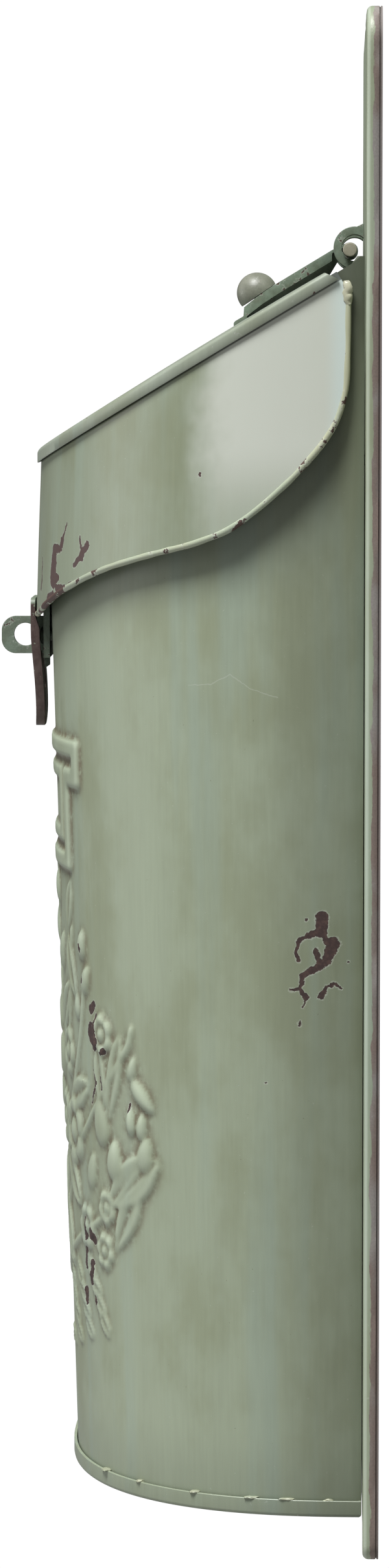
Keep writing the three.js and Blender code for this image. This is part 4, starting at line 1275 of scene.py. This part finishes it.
def make_plate():
    """Sheet with a rolled front edge, a side rim and a folded lip against the wall.

    Known fault: the faces made for the sheet still cover its three holes, which are open in the CAD
    part. The walls of the holes are there, hidden under those faces.
    """
    depth = PLATE_FRONT - PLATE_HIGH[1]
    bend = PLATE_BEND
    profile = []
    for step in range(7):
        turn = math.radians(90 * step / 6)
        profile.append((bend * (1 - math.sin(turn)), depth + bend * (1 - math.cos(turn))))
    profile += [(0, -2.6), (0, -1.0), (0.12, -0.88), (0.34, -0.8), (0.34, -0.6), (0.12, -0.52),
                (0.0, -0.42), (0, -0.2), (0.15, 0), (PLATE_LIP, 0), (PLATE_LIP, -SHEET),
                (SHEET, -SHEET), (SHEET, depth + bend),
                (SHEET + 0.3 * (bend - SHEET), depth + SHEET + 0.3 * (bend - SHEET)),
                (bend, depth + SHEET)]
    base = even_loop(plate_loop(0))
    inward = plate_loop_inward(base)
    rings = []
    for inset, y in profile:
        flat = base + inset * inward
        wave = 0.12 * np.array([noise(Vector((x / 26, z / 26, 0))) for x, z in base])
        y_values = y + (wave if depth - 0.01 < y < -SHEET else 0)
        rings.append(np.stack([flat[:, 0], np.broadcast_to(y_values, len(flat)), flat[:, 1]], axis=-1))
    count = len(base)
    points = list(np.concatenate(rings))
    faces = grid_faces(len(rings), count, wrap=True)
    holes = [HANGING_HOLE, *SCREW_HOLES]
    circle = np.linspace(0, 2 * math.pi, 28, endpoint=False)
    hole_loops = [
        np.stack([x + r * np.cos(circle), z + r * np.sin(circle)], axis=-1) for x, z, r in holes
    ]
    hole_starts = []
    for face_y, ring_start in ((depth, 0), (depth + SHEET, count * (len(rings) - 1))):
        flat = [tuple(p) for p in base + bend * inward]
        indices = list(range(ring_start, ring_start + count))
        edges = [(i, (i + 1) % count) for i in range(count)]
        for loop in hole_loops:
            begin = len(flat)
            hole_starts.append(len(points))
            indices += list(range(len(points), len(points) + len(loop)))
            points += [(x, face_y, z) for x, z in loop]
            flat += [tuple(p) for p in loop]
            edges += [(begin + i, begin + (i + 1) % len(loop)) for i in range(len(loop))]
        spread = [(x, z) for x in range(-120, 121, 20) for z in range(12, 440, 20)]
        spread = [p for p in spread if all(math.dist(p, (x, z)) > r + 3 for x, z, r in holes)]
        begin = len(flat)
        indices += list(range(len(points), len(points) + len(spread)))
        points += [(x, face_y, z) for x, z in spread]
        flat += spread
        vertices, _, triangles, originals, _, _ = delaunay_2d_cdt(
            [Vector(p) for p in flat], edges, [], 3, 1e-6)
        for triangle in triangles:
            faces.append(tuple(indices[originals[v][0]] for v in triangle))
    for front, back in zip(hole_starts[:len(holes)], hole_starts[len(holes):]):
        for i in range(len(circle)):
            j = (i + 1) % len(circle)
            faces.append((front + i, front + j, back + j, back + i))
    piece = add_mesh("back_plate_formed", points, faces, PAINTS["plate"], 50.0)
    return place(piece, "box", "plate_paint", "back_plate")


def plate_loop_inward(loop):
    """Unit directions into the plate at each point of its outline."""
    tangent = np.roll(loop, -1, axis=0) - np.roll(loop, 1, axis=0)
    tangent /= np.linalg.norm(tangent, axis=1)[:, None]
    return np.stack([-tangent[:, 1], tangent[:, 0]], axis=-1)


# ---- Hinge, knob, staple, hasp and rivets ----

def lathe(name, profile, start, direction, material, sides=40):
    """A turned piece from (radius, height) points round an axis; its ends lie on the axis."""
    turn = Vector((0, 0, 1)).rotation_difference(Vector(direction)).to_matrix()
    rings = []
    for radius, height in profile[1:-1]:
        ring = [turn @ Vector((radius * math.cos(a), radius * math.sin(a), height))
                for a in np.linspace(0, 2 * math.pi, sides, endpoint=False)]
        rings.append(np.array([[*(Vector(start) + p)] for p in ring]))
    points = np.concatenate(rings)
    faces = grid_faces(len(rings), sides, wrap=True)
    ends = [np.array(Vector(start) + turn @ Vector((0, 0, profile[i][1]))) for i in (0, -1)]
    points = np.concatenate([points, ends])
    first, last = len(points) - 2, len(points) - 1
    top = (len(rings) - 1) * sides
    for i in range(sides):
        j = (i + 1) % sides
        faces.append((j, i, first))
        faces.append((top + i, top + j, last))
    return add_mesh(name, points, faces, material, 40.0)


def make_hinge():
    """Pin with rounded ends, looped brackets and the strap, their edges eased."""
    pin = refined("hinge_pin_turned", "hinge_pin", PAINTS["pin"], 0.3, 3)
    place(pin, "box", "hardware_paint", "hinge_pin")
    for side in ("left", "right"):
        node = f"hinge_bracket_{side}"
        piece = refined(f"{node}_bent", node, PAINTS["hardware"], 0.35, 3)
        place(piece, "box", "hardware_paint", node)
    strap = refined("hinge_strap_bent", "hinge_strap", PAINTS["hardware"], 0.28, 2)
    place(strap, "lid", "hardware_paint", "hinge_strap")


KNOB_TILT = 34.2
KNOB_CENTRE_UP = 1.2


def make_knob():
    """Ball knob flattened where it sits on the strap, and its screw from inside the lid."""
    low, high = box_mm("lid_knob")
    radius = (high[0] - low[0]) / 2
    tilt = math.radians(KNOB_TILT)
    axis = Vector((0, -math.sin(tilt), math.cos(tilt)))
    middle = Vector(((low[0] + high[0]) / 2, low[1] + radius, high[2] - radius))
    base = GAP - KNOB_CENTRE_UP
    start = math.asin(base / radius)
    profile = [(0, base), (radius * math.cos(start) - 0.5, base)]
    for step in range(21):
        turn = start + (math.pi / 2 - start) * step / 21
        profile.append((radius * math.cos(turn), radius * math.sin(turn)))
    profile.append((0, radius))
    knob = lathe("lid_knob_turned", profile, middle, axis, PAINTS["knob"], 48)
    place(knob, "lid", "hardware_paint", "lid_knob")
    screw = refined("knob_screw_turned", "knob_screw", PAINTS["hardware"], 0.2, 2)
    place(screw, "lid", "hardware_paint", "knob_screw")


def make_closure():
    """Staple on the body and slotted hasp strap on the skirt."""
    staple = refined("staple_formed", "staple", PAINTS["hardware"], 0.35, 3)
    place(staple, "box", "hardware_paint", "staple")
    strap = refined("hasp_strap_bent", "hasp_strap", PAINTS["strap_worn"], 0.3, 3)
    place(strap, "lid", "worn_strap", "hasp_strap")


def make_rivets():
    """Rivets with hammered heads, each a copy of its CAD node with eased edges."""
    for node in sorted(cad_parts):
        if "_rivet_" not in node:
            continue
        on_body = node.startswith("body_rivet")
        paint = PAINTS["body" if on_body else "hardware"]
        piece = refined(f"{node}_set", node, paint, 0.12, 2)
        place(piece, "box", "body_paint" if on_body else "hardware_paint", node)


make_body()
make_pan()
make_solder()
make_lid_top()
make_skirt()
make_hem()
make_hem_ends()
make_plate()
make_hinge()
make_knob()
make_closure()
make_rivets()


# ---- Stage: floor, light and camera ----

WHITE_SEEN = 1.02
WORLD_LIGHT = 0.10
FLOOR_HALF = 8.0
FLOOR_LEVEL = -0.55
CAMERA_LENS = 119.57
CAMERA_PLACE = (1.62286, -0.010665, 0.34824)
CAMERA_DIRECTION = (-0.99611557, -0.02856575, -0.08329331)


def floor_finish():
    """Plain white where the camera sees it, and a mid grey bounce for the light."""
    material = bpy.data.materials.new("pale_floor")
    material.use_nodes = True
    nodes, links = material.node_tree.nodes, material.node_tree.links
    shader = nodes["Principled BSDF"]
    shader.inputs["Base Color"].default_value = (0.4, 0.4, 0.4, 1)
    shader.inputs["Roughness"].default_value = 0.9
    shown = nodes.new("ShaderNodeEmission")
    shown.inputs["Strength"].default_value = WHITE_SEEN
    choose = nodes.new("ShaderNodeMixShader")
    path = nodes.new("ShaderNodeLightPath")
    links.new(path.outputs["Is Camera Ray"], choose.inputs[0])
    links.new(shader.outputs[0], choose.inputs[1])
    links.new(shown.outputs[0], choose.inputs[2])
    links.new(choose.outputs[0], nodes["Material Output"].inputs["Surface"])
    return material


def make_floor():
    """A pale floor well below the hanging mailbox."""
    half, level = FLOOR_HALF, FLOOR_LEVEL
    mesh = bpy.data.meshes.new("studio_floor")
    corners = [(-half, -half, level), (half, -half, level), (half, half, level), (-half, half, level)]
    mesh.from_pydata(corners, [], [(0, 1, 2, 3)])
    mesh.materials.append(floor_finish())
    floor = bpy.data.objects.new("studio_floor", mesh)
    bpy.context.scene.collection.objects.link(floor)


def area_light(name, place_at, aim, size, power):
    light = bpy.data.lights.new(name, "AREA")
    light.shape = "RECTANGLE"
    light.size, light.size_y = size
    light.energy = power
    lamp = bpy.data.objects.new(name, light)
    lamp.location = place_at
    lamp.rotation_euler = (Vector(aim) - Vector(place_at)).to_track_quat("-Z", "Y").to_euler()
    bpy.context.scene.collection.objects.link(lamp)


def make_world():
    world = bpy.data.worlds.new("studio")
    world.use_nodes = True
    nodes, links = world.node_tree.nodes, world.node_tree.links
    back = nodes["Background"]
    back.inputs["Color"].default_value = (1, 1, 1, 1)
    back.inputs["Strength"].default_value = WORLD_LIGHT
    shown = nodes.new("ShaderNodeBackground")
    shown.inputs["Color"].default_value = (1, 1, 1, 1)
    shown.inputs["Strength"].default_value = WHITE_SEEN
    choose = nodes.new("ShaderNodeMixShader")
    path = nodes.new("ShaderNodeLightPath")
    links.new(path.outputs["Is Camera Ray"], choose.inputs[0])
    links.new(back.outputs[0], choose.inputs[1])
    links.new(shown.outputs[0], choose.inputs[2])
    links.new(choose.outputs[0], nodes["World Output"].inputs["Surface"])
    bpy.context.scene.world = world


def make_camera():
    """Near the lid's height, looking across the mailbox from its right side."""
    camera_data = bpy.data.cameras.new("side_camera")
    camera_data.lens = CAMERA_LENS
    camera_data.sensor_width = 36.0
    camera_data.clip_end = 50.0
    camera = bpy.data.objects.new("side_camera", camera_data)
    camera.location = CAMERA_PLACE
    camera.rotation_euler = Vector(CAMERA_DIRECTION).to_track_quat("-Z", "Y").to_euler()
    bpy.context.scene.collection.objects.link(camera)
    bpy.context.scene.camera = camera


make_floor()
area_light("key_light", (1.9, -1.3, 5.0), (0, -0.05, 0.15), (1.9, 1.9), 490.0)
area_light("front_light", (-0.2, -2.4, 0.7), (0, -0.05, 0.2), (1.4, 1.4), 11.0)
make_world()
make_camera()
bpy.context.scene.view_settings.view_transform = "Standard"
